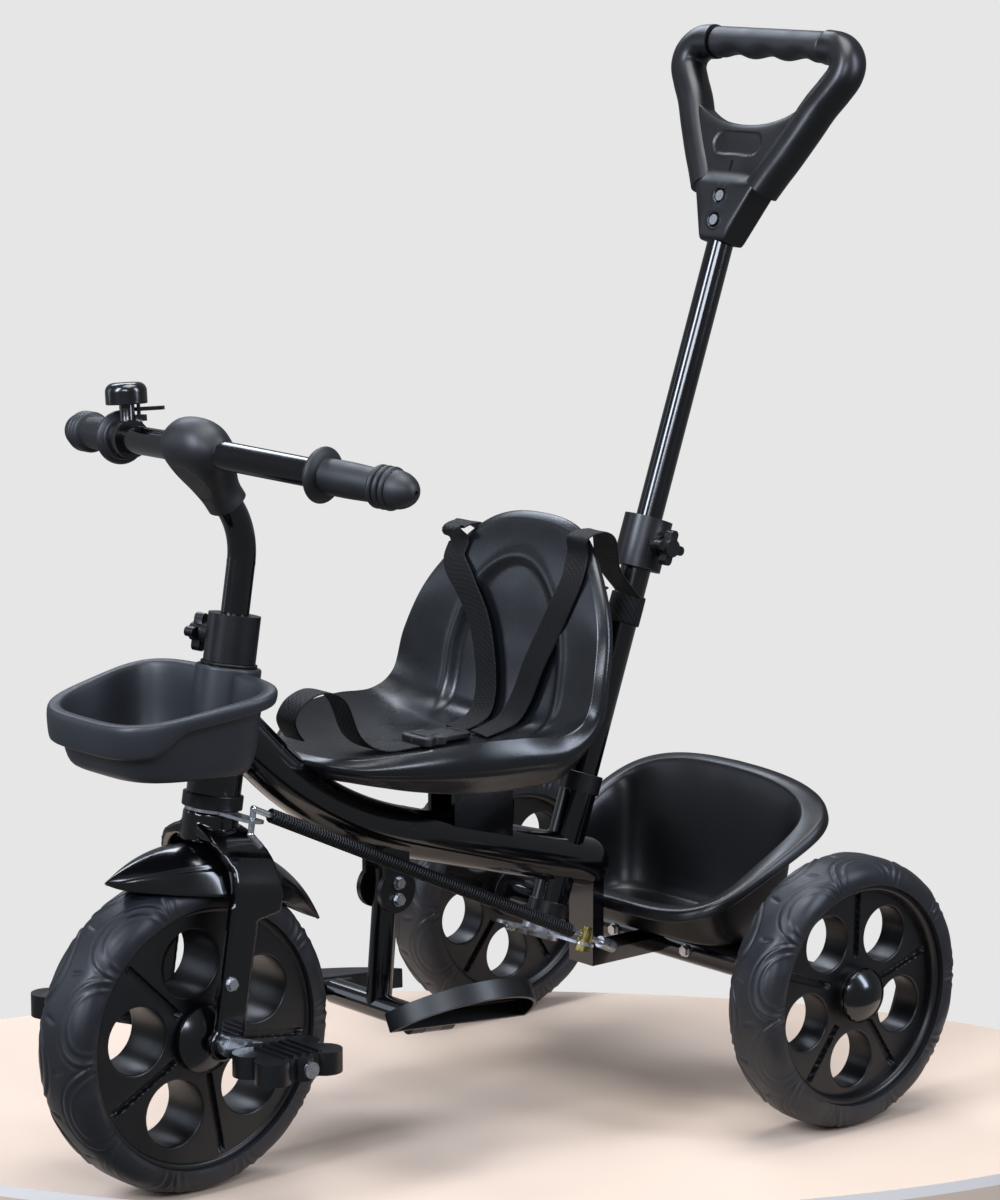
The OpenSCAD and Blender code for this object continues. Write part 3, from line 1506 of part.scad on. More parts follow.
// Middle line of the spring about the link
function spring_pt(k) =
  let (f = k / (curls * spring_steps), a = 360 * k / spring_steps)
    [spring_start + tail + (spring_end - spring_start - 2 * tail) * f, spring_r * cos(a), spring_r * sin(a)];
spring_line = [for (k = [0:curls * spring_steps]) spring_pt(k)];
spring_gap = min([
  for (k = [0:spring_steps - 1], j = [spring_steps - 2:spring_steps + 2])
    norm(spring_line[k + j] - spring_line[k])
]) - spring_wire;
echo(least_gap_of_spring_to_itself = spring_gap);

module link_spring() {
  last = curls * spring_steps;
  rings = [
    for (k = [0:last])
      let (d = unit(spring_line[min(last, k + 1)] - spring_line[max(0, k - 1)]))
        let (out = unit([0, spring_line[k].y, spring_line[k].z]), b = cross(d, out))
          [for (i = [0:spring_sides - 1]) let (a = 360 * i / spring_sides)
            spring_line[k] + spring_wire / 2 * (cos(a) * out + sin(a) * b)]
  ];
  color([0.2, 0.2, 0.22]) on_link() loft(rings);
}

module link_rod() {
  hook = 20;
  rear_tail = 32;
  elbow_d = 1.12 * link_d;
  color([0.75, 0.75, 0.77]) {
    on_link() translate([-rear_tail, 0, 0]) rotate([0, 90, 0]) cylinder(d = link_d, h = rear_tail + link_len);
    on_link() translate([-rear_tail - 2, 0, 0]) rotate([0, 90, 0]) cylinder(d = link_d + 5, h = 16);
    translate(link_front) sphere(d = elbow_d);
    translate(link_front) rotate([0, 180 - head_tilt, 0]) {
      cylinder(d = link_d, h = hook);
      translate([0, 0, hook]) {
        sphere(d = elbow_d);
        rotate([0, 50, 0]) cylinder(d = link_d, h = 14);
      }
    }
  }
}

module link_clamp() {
  low = lever_t + clamp_rise;
  color([0.75, 0.6, 0.25])
    difference() {
      union() {
        translate(link_rear) rotate([0, -push_tilt, 0]) {
          translate([0, 0, -low - 5]) cylinder(d = clamp_pin_d, h = low + 5);
          translate([0, 0, -clamp_rise + air_gap]) cylinder(d = 12, h = clamp_rise + 4);
          translate([0, 0, 4]) cylinder(d = 9, h = 4, $fn = 6);
          translate([0, 0, -low - 5]) cylinder(d = 13, h = 4.6 - 0.2, $fn = 6);
        }
      }
      on_link() translate([-60, 0, 0]) rotate([0, 90, 0]) cylinder(d = link_d + 2 * fix_gap, h = 120);
    }
}

main_beam();
head_tube();
tube_bushes();
push_socket();
axle_tube();
rear_stay();
rear_axle();
axle_washers();
seat();
seat_bracket();
frame_bolts();
front_basket();
rear_basket();
footrest_bracket();
footrest_bolts();
footrest_frame();
shoulder_strap_left();
shoulder_strap_right();
front_strap();
buckle();
fork();
fender();
steering_lever();
stem_collar();
fork_screws();
stem();
handlebar();
grip_left();
grip_right();
bar_cover();
bell_base();
bell_dome();
bell_striker();
stem_knob();
push_knob();
front_wheel();
front_tyre();
front_hub_caps();
crank_axle();
pedal_left();
pedal_right();
rear_wheel_left();
rear_wheel_right();
rear_tyre_left();
rear_tyre_right();
rear_hub_cap_left();
rear_hub_cap_right();
push_tube_lower();
push_collar();
push_lever();
push_tube_upper();
push_handle();
push_grip();
handle_screws();
link_rod();
link_spring();
link_clamp();
footplate_left();
footplate_right();
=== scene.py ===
"""Looks of a toddler trike with a steerable push bar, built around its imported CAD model."""

import json
import math

import bmesh
import bpy
import numpy as np
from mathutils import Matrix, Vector

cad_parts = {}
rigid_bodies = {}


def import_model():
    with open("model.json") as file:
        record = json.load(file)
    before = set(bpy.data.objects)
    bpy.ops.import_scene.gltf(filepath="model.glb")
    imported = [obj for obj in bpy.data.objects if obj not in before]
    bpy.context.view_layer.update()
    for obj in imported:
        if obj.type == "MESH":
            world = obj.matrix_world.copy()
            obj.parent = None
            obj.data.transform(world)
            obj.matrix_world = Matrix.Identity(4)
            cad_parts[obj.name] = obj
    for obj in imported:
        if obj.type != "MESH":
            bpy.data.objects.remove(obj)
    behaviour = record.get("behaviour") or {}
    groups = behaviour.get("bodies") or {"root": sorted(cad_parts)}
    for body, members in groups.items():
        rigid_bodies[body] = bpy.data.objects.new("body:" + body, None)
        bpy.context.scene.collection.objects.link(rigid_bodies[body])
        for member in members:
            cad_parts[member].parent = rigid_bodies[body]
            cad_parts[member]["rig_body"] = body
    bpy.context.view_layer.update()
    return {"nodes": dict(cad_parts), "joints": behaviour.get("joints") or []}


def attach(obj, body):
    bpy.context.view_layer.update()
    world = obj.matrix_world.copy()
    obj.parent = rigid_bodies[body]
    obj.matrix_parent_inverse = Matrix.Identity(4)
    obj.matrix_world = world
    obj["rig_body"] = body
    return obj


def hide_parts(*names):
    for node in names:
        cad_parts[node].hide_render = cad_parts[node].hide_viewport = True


bl_info = {
    "name": "Toddler Trike Looks",
    "version": (1, 0, 0),
    "blender": (4, 5, 0),
    "location": "View3D > Sidebar > Trike",
    "description": "Builds the visible pieces and finishes of a toddler trike on its CAD frame",
    "category": "Object",
}

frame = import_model()
MM = 0.001


# Places on the trike, in millimetres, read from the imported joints


def unit(v):
    """Vectors brought to length one."""
    return v / np.linalg.norm(v, axis=-1, keepdims=True)


def joint(name, value):
    """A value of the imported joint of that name."""
    return np.array(next(j for j in frame["joints"] if j["name"] == name)[value], float)


FORE, ACROSS, UP = np.eye(3)
FRONT_AXLE, REAR_LEFT, REAR_RIGHT, PUSH_FOOT, LINK_PIVOT = (
    joint(name, "pos_m") / MM
    for name in ("front_wheel_spin", "rear_left_spin", "rear_right_spin", "push_bar_turn", "steering_rod_turn")
)
REAR_AXLE = (REAR_LEFT + REAR_RIGHT) / 2
HEAD_UP, PUSH_UP = unit(joint("steer", "axis")), unit(joint("push_bar_turn", "axis"))
HEAD = np.array([np.cross(ACROSS, HEAD_UP), ACROSS, HEAD_UP])
PUSH = np.array([np.cross(ACROSS, PUSH_UP), ACROSS, PUSH_UP])


def on_head(points):
    """Points given square to the steering axis, from the front axle, put in the trike's frame."""
    return np.asarray(points, float) @ HEAD + FRONT_AXLE


def on_push(points):
    """Points given square to the push bar's axis, from the beam's middle, put in the trike's frame."""
    return np.asarray(points, float) @ PUSH + PUSH_FOOT


# Sizes and colours that a user would change


def hex_linear(code):
    """sRGB hex colour to linear red, green and blue."""
    c = np.array([int(code[i : i + 2], 16) for i in (1, 3, 5)]) / 255
    return tuple(np.where(c <= 0.04045, c / 12.92, ((c + 0.055) / 1.055) ** 2.4))


def size_mm(name, description, default, low, high):
    """A length property, given in millimetres and kept in metres with its unit."""
    limits = {"default": default * MM, "min": low * MM, "max": high * MM}
    return bpy.props.FloatProperty(
        name=name, description=description, precision=4, subtype="DISTANCE", unit="LENGTH", **limits
    )


def count_of(name, description, default, low, high):
    """A whole-number property."""
    return bpy.props.IntProperty(name=name, description=description, default=default, min=low, max=high)


def colour_of(name, description, code):
    """A colour property from an sRGB hex value."""
    return bpy.props.FloatVectorProperty(
        name=name, description=description, default=hex_linear(code), subtype="COLOR", size=3, min=0, max=1
    )


class TrikeSizes(bpy.types.PropertyGroup):
    """Sizes and counts of the visible detail."""

    petals: count_of("Tyre petals", "Leaf shapes around each shoulder of a tyre", 10, 8, 18)
    petal_rise: size_mm("Petal rise", "Height of the ridges on a tyre", 0.7, 0, 3)
    front_width: size_mm("Front tyre width", "Width of the front tyre", 58, 48, 60)
    rear_width: size_mm("Rear tyre width", "Width of a rear tyre", 52, 44, 58)
    tyre_depth: size_mm("Tyre depth", "Depth of the foam outside the rim", 21, 16, 24)
    front_hole: size_mm("Front wheel hole", "Width of a hole in the front wheel", 53, 40, 56)
    rear_hole: size_mm("Rear wheel hole", "Width of a hole in a rear wheel", 46, 34, 48)
    front_disc: size_mm("Front wheel disc", "Thickness of the front wheel between its holes", 46, 38, 48)
    rear_disc: size_mm("Rear wheel disc", "Thickness of a rear wheel between its holes", 26, 18, 34)
    groove: size_mm("Wheel groove", "Depth of the groove along a spoke", 4, 1, 6)
    edge_round: size_mm("Moulded edges", "Rounding of moulded plastic edges", 1.2, 0.3, 2.5)
    strap_width: size_mm("Webbing width", "Width of the harness webbing", 25, 20, 28)
    strap_thick: size_mm("Webbing thickness", "Thickness of the webbing", 1.5, 1, 2)
    grip_ribs: count_of("Grip ribs", "Rings at the outer end of a handlebar grip", 3, 2, 5)
    grip_waves: count_of("Finger waves", "Finger hollows on the push grip", 3, 2, 5)
    curls: count_of("Spring curls", "Curls of the spring sleeve", 120, 60, 140)
    seat_roll: size_mm("Seat edge", "Bulge of the seat's rolled edge", 7, 3, 10)


class TrikeColours(bpy.types.PropertyGroup):
    """Colours of the finishes."""

    paint: colour_of("Gloss paint", "Powder coat on the tubes", "#020204")
    seat: colour_of("Seat", "Blow-moulded polyethylene", "#0E1013")
    basket: colour_of("Front basket", "Injection-moulded polypropylene", "#212327")
    # on the rear basket this darker colour is partly its own black and partly painted shade inside the basket
    moulding: colour_of("Mouldings", "Black polypropylene of wheels, rear basket and collars", "#08080A")
    gloss: colour_of("Gloss plastic", "Polished ABS of caps, bell and fender", "#050507")
    tyre: colour_of("Tyres", "Foamed EVA", "#18191D")
    grip: colour_of("Grips", "Soft PVC", "#111215")
    webbing: colour_of("Webbing", "Woven polypropylene", "#0A0A0B")
    zinc: colour_of("Zinc plate", "Bright zinc on screws and levers", "#C9CBD0")
    yellow_zinc: colour_of("Yellow zinc", "Yellow chromate on the clamp", "#BBAA66")
    spring: colour_of("Spring", "Blackened spring wire", "#26272A")
    floor: colour_of("Podium", "Beige top of the podium", "#CDB8A5")
    # the podium edge's pale colour is a painted highlight, standing for light caught along the podium's near rim
    edge: colour_of("Podium edge", "White edge of the podium", "#E4DFD8")
    backdrop: colour_of("Backdrop", "Pale backdrop of the stage", "#E6E6E6")


def count(name):
    """One of the scene's counts."""
    return getattr(bpy.context.scene.trike_sizes, name)


def size(name):
    """One of the scene's sizes in millimetres."""
    return count(name) / MM


def colour(name):
    """One of the scene's colours."""
    return np.array(getattr(bpy.context.scene.trike_colours, name))


# Curves and surfaces as arrays of points in millimetres


def soft_step(x):
    """Smooth rise from 0 to 1."""
    x = np.clip(x, 0, 1)
    return x * x * (3 - 2 * x)


def hump(x, width):
    """Bell curve of height 1."""
    return np.exp(-((x / width) ** 2))


def dome(x):
    """Half circle of height 1, and 0 beyond it."""
    return np.sqrt(np.clip(1 - x**2, 0, 1))


def around(steps):
    """Angles evenly spaced round a circle."""
    return np.linspace(0, 2 * np.pi, steps, endpoint=False)


def ellipse(angle, first, second):
    """Points at angles on an ellipse with these two half axes."""
    return np.cos(angle)[:, None] * first + np.sin(angle)[:, None] * second


def squared(angle, power, rise_power=None):
    """Cosine and sine of angles, each to a power that keeps its sign; a power below 1 squares an oval."""
    c, s = np.cos(angle), np.sin(angle)
    return np.sign(c) * abs(c) ** power, np.sign(s) * abs(s) ** (rise_power or power)


def through(knots, v, straight=False):
    """Smooth values at v, from 0 to 1, by cubics through evenly spaced knots with slopes from the neighbouring knots.
    Past an end the end knot is repeated, or the last span goes on straight."""
    knots = np.asarray(knots, float)
    span = len(knots) - 1
    ends = (2 * knots[0] - knots[1], 2 * knots[-1] - knots[-2]) if straight else (knots[0], knots[-1])
    padded = np.vstack([ends[0], knots, ends[1]])
    i = np.clip(np.floor(v * span).astype(int), 0, span - 1)
    t = (v * span - i)[..., None]
    before, a, b, after = (padded[i + k] for k in range(4))
    rise = 3 * t**2 - 2 * t**3
    return a + (b - a) * rise + (t**3 - 2 * t**2 + t) * (b - before) / 2 + (t**3 - t**2) * (after - a) / 2


def soften(knots, radii, steps=6):
    """A chain of knots, each a row of numbers, whose corners are replaced by parabolas that start and end at a radius
    from the corner, measured in the row's first three numbers."""
    knots = np.asarray(knots, float)
    made = [knots[:1]]
    t = np.linspace(0, 1, steps)[:, None]
    for before, corner, after, radius in zip(knots[:-2], knots[1:-1], knots[2:], radii):
        first, last = (
            corner + (k - corner) * min(0.48, radius / np.linalg.norm((k - corner)[:3])) for k in (before, after)
        )
        made.append((1 - t) ** 2 * first + 2 * t * (1 - t) * corner + t**2 * last)
    return np.vstack(made + [knots[-1:]])


def xyz(*coordinates):
    """Points from three arrays of coordinates, spread to one shape."""
    return np.stack(np.broadcast_arrays(*coordinates), -1)


def surface(grid, close_rows=False, close_columns=True):
    """A grid of points as vertices and quads; closing joins the last row or column to the first."""
    rows, columns = grid.shape[:2]
    i, j = np.indices((rows if close_rows else rows - 1, columns if close_columns else columns - 1))
    low, high, right = i * columns, (i + 1) % rows * columns, (j + 1) % columns
    return grid.reshape(-1, 3), np.stack([low + j, low + right, high + right, high + j], -1).reshape(-1, 4)


def capped(grid):
    """A tube of rings, closed at each end by a fan from the end ring's middle."""
    first, last = (np.broadcast_to(ring.mean(0), (1, *ring.shape)) for ring in (grid[0], grid[-1]))
    return surface(np.concatenate([first, grid, last]))


def lathe(profile, origin, axis, steps):
    """Profile points (radius, height) turned about an axis from an origin."""
    profile = np.asarray(profile, float)[:, None]
    side = unit(np.cross(axis, [0.3, 0.5, 0.81]))
    ring = ellipse(around(steps), side, np.cross(axis, side))
    return surface(origin + profile[..., :1] * ring + profile[..., 1:] * axis)


def carried(path, section, across):
    """Rings of a section, its points (sideways, outwards), carried along a path. Sideways is square to the path and as
    near as can be to across, and outwards is square to both."""
    along = unit(np.gradient(path, axis=0))
    side = unit(across - along * (across * along).sum(1, keepdims=True))
    return path[:, None] + section[:, :1] * side[:, None] + section[:, 1:] * np.cross(side, along)[:, None]


def oval(width, height, steps, power=1.0):
    """Closed oval section; a power below 1 squares it."""
    return np.stack(squared(around(steps), power), -1) * [width / 2, height / 2]


# Pieces


def put(thing, **settings):
    """Gives a thing its settings."""
    for key, value in settings.items():
        setattr(thing, key, value)
    return thing


def linked(name, data):
    """A new object in the scene."""
    made = bpy.data.objects.new(name, data)
    bpy.context.scene.collection.objects.link(made)
    return made


def dress(name, mesh, material, body, replaced, sharp):
    """Puts a finished mesh in the scene with its material and body, and hides the nodes that it stands for."""
    mesh.shade_smooth()
    mesh.set_sharp_from_angle(angle=math.radians(sharp))
    mesh.materials.append(FINISHES[material])
    made = linked(name, mesh)
    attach(made, body)
    if replaced:
        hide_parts(*replaced)
    return made


def stand_in(name, mesh, material, node, sharp):
    """A mesh in place of a CAD node, on the node's body."""
    return dress(name, mesh, material, frame["nodes"][node]["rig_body"], (node,), sharp)


def mesh_of(name, points, faces, merge=False):
    """A mesh with its normals facing out, its points merged where they meet if asked."""
    mesh = bpy.data.meshes.new(name)
    mesh.from_pydata((points * MM).tolist(), [], faces.tolist())
    work = bmesh.new()
    work.from_mesh(mesh)
    if merge:
        bmesh.ops.remove_doubles(work, verts=work.verts, dist=1e-6)
    bmesh.ops.recalc_face_normals(work, faces=work.faces)
    work.to_mesh(mesh)
    work.free()
    return mesh


def piece(name, surfaces, material, node, sharp):
    """A piece from one or more surfaces, in place of a CAD node."""
    starts = np.cumsum([0] + [len(points) for points, _ in surfaces])
    points = np.vstack([points for points, _ in surfaces])
    faces = np.vstack([faces + start for (_, faces), start in zip(surfaces, starts)])
    return stand_in(name, mesh_of(name, points, faces, True), material, node, sharp)


def merged_copy(node):
    """A copy of a CAD node's mesh with its loose triangles joined into flat faces."""
    work = bmesh.new()
    work.from_mesh(frame["nodes"][node].data)
    bmesh.ops.remove_doubles(work, verts=work.verts, dist=2e-6)
    flat = math.radians(0.6)
    bmesh.ops.dissolve_limit(work, angle_limit=flat, verts=work.verts, edges=work.edges, delimit={"NORMAL"})
    mesh = bpy.data.meshes.new(node + "_soft")
    work.to_mesh(mesh)
    work.free()
    return mesh


SHARP_ANGLE = 28


def rounded_copies(nodes, material, width=None):
    """CAD nodes with their moulded edges rounded by a bevel, of the common width if none is given."""
    for node in nodes.split():
        made = stand_in(node + "_moulded", merged_copy(node), material, node, SHARP_ANGLE)
        bevel = put(made.modifiers.new("edges", "BEVEL"), segments=2, limit_method="ANGLE", miter_outer="MITER_ARC")
        put(bevel, width=(width or size("edge_round")) * MM, angle_limit=math.radians(SHARP_ANGLE))


def flowing_copy(node, material, voxel, passes):
    """A CAD node remade in small even faces and smoothed, so that its edges flow like a casting's."""
    made = stand_in(node + "_cast", merged_copy(node), material, node, 180)
    put(made.modifiers.new("even", "REMESH"), mode="VOXEL", voxel_size=voxel * MM, use_smooth_shade=True)
    put(made.modifiers.new("flow", "SMOOTH"), iterations=passes)


# Finishes

FINISHES = {}

# A finish: its material's name, roughness and other even values; the size and height of its bumps in mm, and their
# strength; the size of its patches in mm, their shade, and the roughness from the smoothest to the roughest.
FINISH_TABLE = {
    # Deep gloss with a faint orange peel
    "paint": (
        "gloss_powder_coat", 0.16, {"Coat Weight": 0.5, "Coat Roughness": 0.05}, (2.4, 0.03, 0.25), (60, 1.5, 0.13, 0.2)
    ),
    # Soft sheen and a pebbled leather grain
    "seat": ("blow_moulded_polyethylene", 0.28, {"IOR": 1.51}, (1.5, 0.12, 0.35), (45, 1.25, 0.23, 0.33)),
    # Satin, with a spark-eroded grain, and a smoother one
    "basket": ("satin_polypropylene", 0.45, {"IOR": 1.49}, (0.9, 0.05, 0.3), (70, 1.2, 0.4, 0.5)),
    "moulding": ("black_polypropylene", 0.36, {"IOR": 1.49}, (1.1, 0.04, 0.25), (50, 1.35, 0.3, 0.42)),
    # Bright highlights and faint flow marks
    "gloss": (
        "polished_abs", 0.2, {"IOR": 1.54, "Coat Weight": 0.3, "Coat Roughness": 0.06},
        (3.0, 0.02, 0.2), (40, 1.4, 0.15, 0.26),
    ),
    # Matt skins, mottled, with fine pores
    "tyre": ("foamed_eva", 0.45, {"IOR": 1.48}, (0.8, 0.06, 0.3), (28, 1.3, 0.36, 0.52)),
    "grip": ("soft_pvc", 0.5, {"IOR": 1.53}, (0.7, 0.04, 0.3), (25, 1.2, 0.42, 0.56)),
    # Metals with cloudy patches
    "zinc": ("bright_zinc_plate", 0.3, {"Metallic": 1.0}, (0.5, 0.02, 0.2), (6, 0.8, 0.22, 0.38)),
    "yellow_zinc": ("yellow_zinc_plate", 0.3, {"Metallic": 1.0}, (0.5, 0.02, 0.2), (5, 0.75, 0.22, 0.36)),
    "spring": ("blackened_spring_wire", 0.35, {"Metallic": 0.6}, (0.6, 0.02, 0.2), (8, 0.7, 0.28, 0.42)),
}

NODE_FINISH = {
    "paint": "main_beam head_tube push_socket axle_tube rear_stay seat_bracket stem handlebar push_tube_lower "
    "push_tube_upper footrest_frame",
    "zinc": "rear_axle axle_washers frame_bolts footrest_bolts steering_lever fork_screws push_lever handle_screws "
    "link_rod crank_axle",
    "yellow_zinc": "link_clamp",
}


def add(tree, kind, links=None, **settings):
    """Adds a shader node with its settings, and links its inputs; a plain value sets an input."""
    made = put(tree.nodes.new("ShaderNode" + kind), **settings)
    for key, value in (links or {}).items():
        if isinstance(value, bpy.types.NodeSocket):
            tree.links.new(value, made.inputs[key])
        else:
            made.inputs[key].default_value = value
    return made


def finish(name, base, roughness, values):
    """A material with one shader, whose even values sit on its own sockets."""
    made = bpy.data.materials.new(name)
    made.use_nodes = True
    tree = made.node_tree
    tree.nodes.clear()
    shader = add(tree, "BsdfPrincipled", {"Base Color": (*base, 1), "Roughness": roughness, **values})
    add(tree, "OutputMaterial", {"Surface": shader.outputs["BSDF"]})
    return made, tree, shader


def vary(tree, shader, heights, strength, bump_mm, share, low, high):
    """Lifts a finish by a texture, and mixes its colour from low to high by another."""
    bump = add(tree, "Bump", {"Strength": strength, "Distance": bump_mm * MM, "Height": heights})
    tint = add(tree, "Mix", {"Factor": share, "A": (*low, 1), "B": (*high, 1)}, data_type="RGBA")
    tree.links.new(bump.outputs["Normal"], shader.inputs["Normal"])
    tree.links.new(tint.outputs[2], shader.inputs["Base Color"])


def patterned_finish(name, base, roughness, values, grain, patches):
    """A finish whose surface is lifted by a fine noise, and whose colour and roughness are shifted by a broad one."""
    made, tree, shader = finish(name, base, roughness, values)
    grain_mm, bump_mm, strength = grain
    patch_mm, shade, smoothest, roughest = patches
    place = add(tree, "TexCoord").outputs["Object"]
    fine, broad = (
        add(tree, "TexNoise", {"Vector": place, "Scale": 1 / (mm * MM), "Detail": detail, "Roughness": rough})
        for mm, detail, rough in ((grain_mm, 2.0, 0.5), (patch_mm, 3.0, 0.6))
    )
    share = broad.outputs["Fac"]
    vary(tree, shader, fine.outputs["Fac"], strength, bump_mm, share, base, base * shade)
    span = {"Value": share, "From Min": 0.3, "From Max": 0.7, "To Min": smoothest, "To Max": roughest}
    tree.links.new(add(tree, "MapRange", span).outputs["Result"], shader.inputs["Roughness"])
    return made


RIB_MM, TWILL_MM = 1.4, 2.6


def webbing_finish():
    """Woven webbing: ribs across the tape, drawn coarser than the real thread so that they show, crossed by a fainter
    herringbone, on the tape's own UV map in metres. Its colour is painted shade between the ribs and a painted
    highlight on their tops."""
    base = colour("webbing")
    made, tree, shader = finish("woven_polypropylene", base, 0.6, {"IOR": 1.28, "Sheen Weight": 0.04})
    uv = add(tree, "UVMap", uv_map="UVMap").outputs["UV"]
    rib, twill = (
        add(tree, "TexWave", {"Vector": uv, "Scale": 1 / (math.pi * pitch * MM)}, bands_direction=way).outputs["Fac"]
        for way, pitch in (("Y", RIB_MM), ("DIAGONAL", TWILL_MM))
    )
    both = add(tree, "Math", {0: rib, 1: 0.7, 2: twill}, operation="MULTIPLY_ADD")
    # painted shade and highlight: the colour follows the ribs, darker in their hollows and lighter on their tops
    vary(tree, shader, both.outputs["Value"], 0.6, 0.25, rib, base * 0.6, base * 1.7)
    return made


class TRIKE_OT_finishes(bpy.types.Operator):
    """Make the finishes and give them to the CAD pieces that are shown as they are"""

    bl_idname = "trike.finishes"
    bl_label = "Finishes"

    def execute(self, context):
        for name, (material, *rest) in FINISH_TABLE.items():
            FINISHES[name] = patterned_finish(material, colour(name), *rest)
        FINISHES["webbing"] = webbing_finish()
        for name, nodes in NODE_FINISH.items():
            for node in nodes.split():
                materials = frame["nodes"][node].data.materials
                materials.clear()
                materials.append(FINISHES[name])
        return {"FINISHED"}


# Wheels

TYRE_AROUND, TYRE_ACROSS = 640, 110
LEAF_REACH, LEAF_LEAN, LEAF_MM = 0.84, 0.12, 34.0
LEAF_GAP, LEAF_GAP_DEPTH = 0.022, 1.2
# ridges and grooves along a leaf's outline: mm outside it, width in mm and height as a share of the rise
LEAF_RIDGES = ((-1.6, 1.5, 1.0), (1.1, 1.3, -0.9), (-9.0, 1.6, 0.55), (-6.4, 1.5, -0.45))
SWELL, SWELL_AT, SWELL_MM = 1.3, -9.0, 18.0
BEAD_GAP = 0.2


def tyre_surface(middle, width, depth, petals, rise):
    """A tyre: a squared half oval carried round the axle. At angle a and share s of the way from bead to crown, its
    height follows leaves whose outline is (2a/pitch)^2 + (s/reach)^2 = 1: a fine ridge on the outline, a groove outside
    it, a weaker ridge 7 mm further in and a gentle swell within. Grooves part the leaves towards the crown."""
    radius = middle[2]
    inner = radius - depth + BEAD_GAP
    t = np.linspace(0, np.pi, TYRE_ACROSS)
    c, s = squared(t, 0.7, 0.6)
    side, out = width / 2 * c, inner + (radius - inner) * s
    step = np.hypot(np.gradient(side), np.gradient(out))
    length = np.cumsum(step) - step[0]
    share = 1 - abs(1 - 2 * length / length[-1])
    normal = unit(np.stack([np.gradient(out), -np.gradient(side)], -1))
    angle = around(TYRE_AROUND)[:, None]
    local = (angle * petals / (2 * np.pi) + LEAF_LEAN * share + 0.5 * (t > np.pi / 2)) % 1 - 0.5
    away = (np.hypot(local / 0.5, share / LEAF_REACH) - 1) * LEAF_MM
    relief = sum(height * hump(away - at, mm) for at, mm, height in LEAF_RIDGES)
    relief += SWELL * soft_step((SWELL_AT - away) / SWELL_MM)
    fade = np.clip(share / 0.06, 0, 1) * np.clip((1 - share) / 0.12, 0, 1)
    gap = hump(0.5 - abs(local), LEAF_GAP) * soft_step((share - 0.6) / 0.2) * soft_step((1 - share) / 0.08)
    lift = np.minimum(rise * relief * fade - LEAF_GAP_DEPTH * gap, np.maximum(0, (radius - out) * 0.8))
    bead = np.broadcast_to(np.linspace(3 - width / 2, width / 2 - 3, 4), (TYRE_AROUND, 4))
    across = np.hstack([side + lift * normal[:, 0], bead])
    height = np.hstack([np.minimum(out + lift * normal[:, 1], radius), np.full_like(bead, inner)])
    return surface(xyz(height * np.cos(angle), across, height * np.sin(angle)) + middle, True)


HUB_R, RIM_WALL, BORE_R, SPOKES = 22.0, 6.0, 5.1, 5
HOLE_EDGE, GROOVE_HALF, RIM_INSET, HUB_PROUD, HUB_INSET = 1.6, 3.3, 4.0, 2.0, 6.0


def wheel_surfaces(middle, rim_r, rim_half, hub_half, disc_half, hole_r, groove, turned_by):
    """A moulded wheel as closed solids: rim, hub and one sector of the disc for each hole. A sector is a grid of rays
    from its hole's rounded edge to the nearest of the spokes' middle lines, the rim and the hub. A groove with soft
    walls runs along the spokes' middle lines."""
    rim_in = rim_r - RIM_WALL
    hole_at = (rim_in + HUB_R) / 2 + 2
    half = math.radians(180 / SPOKES - 0.003)
    ray = around(180)
    c, s = np.cos(ray), np.sin(ray)
    room = (hole_at * c) ** 2 - hole_at**2
    far = np.sqrt(room + (rim_in + 2) ** 2) - hole_at * c
    spoke = hole_at * math.tan(half) / np.maximum(abs(s) - c * math.tan(half), 1e-6)
    near = room + (HUB_R - 2) ** 2
    hub = np.where((near > 0) & (c < 0), -hole_at * c - np.sqrt(np.maximum(near, 0)), np.inf)
    end = np.minimum(np.minimum(far, spoke), hub)
    start = hole_r + HOLE_EDGE
    reach = start + (end - start) * (1 - np.linspace(0, 1, 26)[:, None] ** 1.7)
    x, y = hole_at + reach * c, reach * s
    beside = abs(x * math.sin(half) - abs(y) * math.cos(half))
    along = x * math.cos(half) + abs(y) * math.sin(half)
    sunk = soft_step((GROOVE_HALF - beside) / 0.7)
    sunk *= soft_step((along - HUB_R - 8) / 2) * soft_step((rim_in - 2 - along) / 2)
    face = xyz(x, y, disc_half - groove * sunk)
    turn_in = np.linspace(0, np.pi / 2, 6)[1:, None]
    lip_r = start - HOLE_EDGE * np.sin(turn_in)
    lip_z = disc_half - HOLE_EDGE + HOLE_EDGE * np.cos(turn_in)
    upper = np.concatenate([face, xyz(hole_at + lip_r * c, lip_r * s, lip_z)])
    sector = np.concatenate([upper, (upper * [1, 1, -1])[::-1]])
    made = []
    for a in around(SPOKES) + math.radians(turned_by):
        turned = sector @ np.array([[math.cos(a), 0, math.sin(a)], [-math.sin(a), 0, math.cos(a)], ACROSS])
        made.append(surface(turned + middle, True))
    rim = [[rim_in, 0], [rim_in, rim_half - 3.5], [rim_in + 2.5, rim_half], [rim_r + BEAD_GAP, rim_half]]
    bush = [[BORE_R, 0], [BORE_R, hub_half], [HUB_R, hub_half]]
    for profile, radii, steps in ((rim, [1.5, 1.5, 0.2], 160), (bush, [0.2, 1.5], 96)):
        both = profile + [[r, -z] for r, z in profile[::-1]]
        made.append(lathe(soften(both, radii + radii[::-1]), middle, ACROSS, steps))
    return made


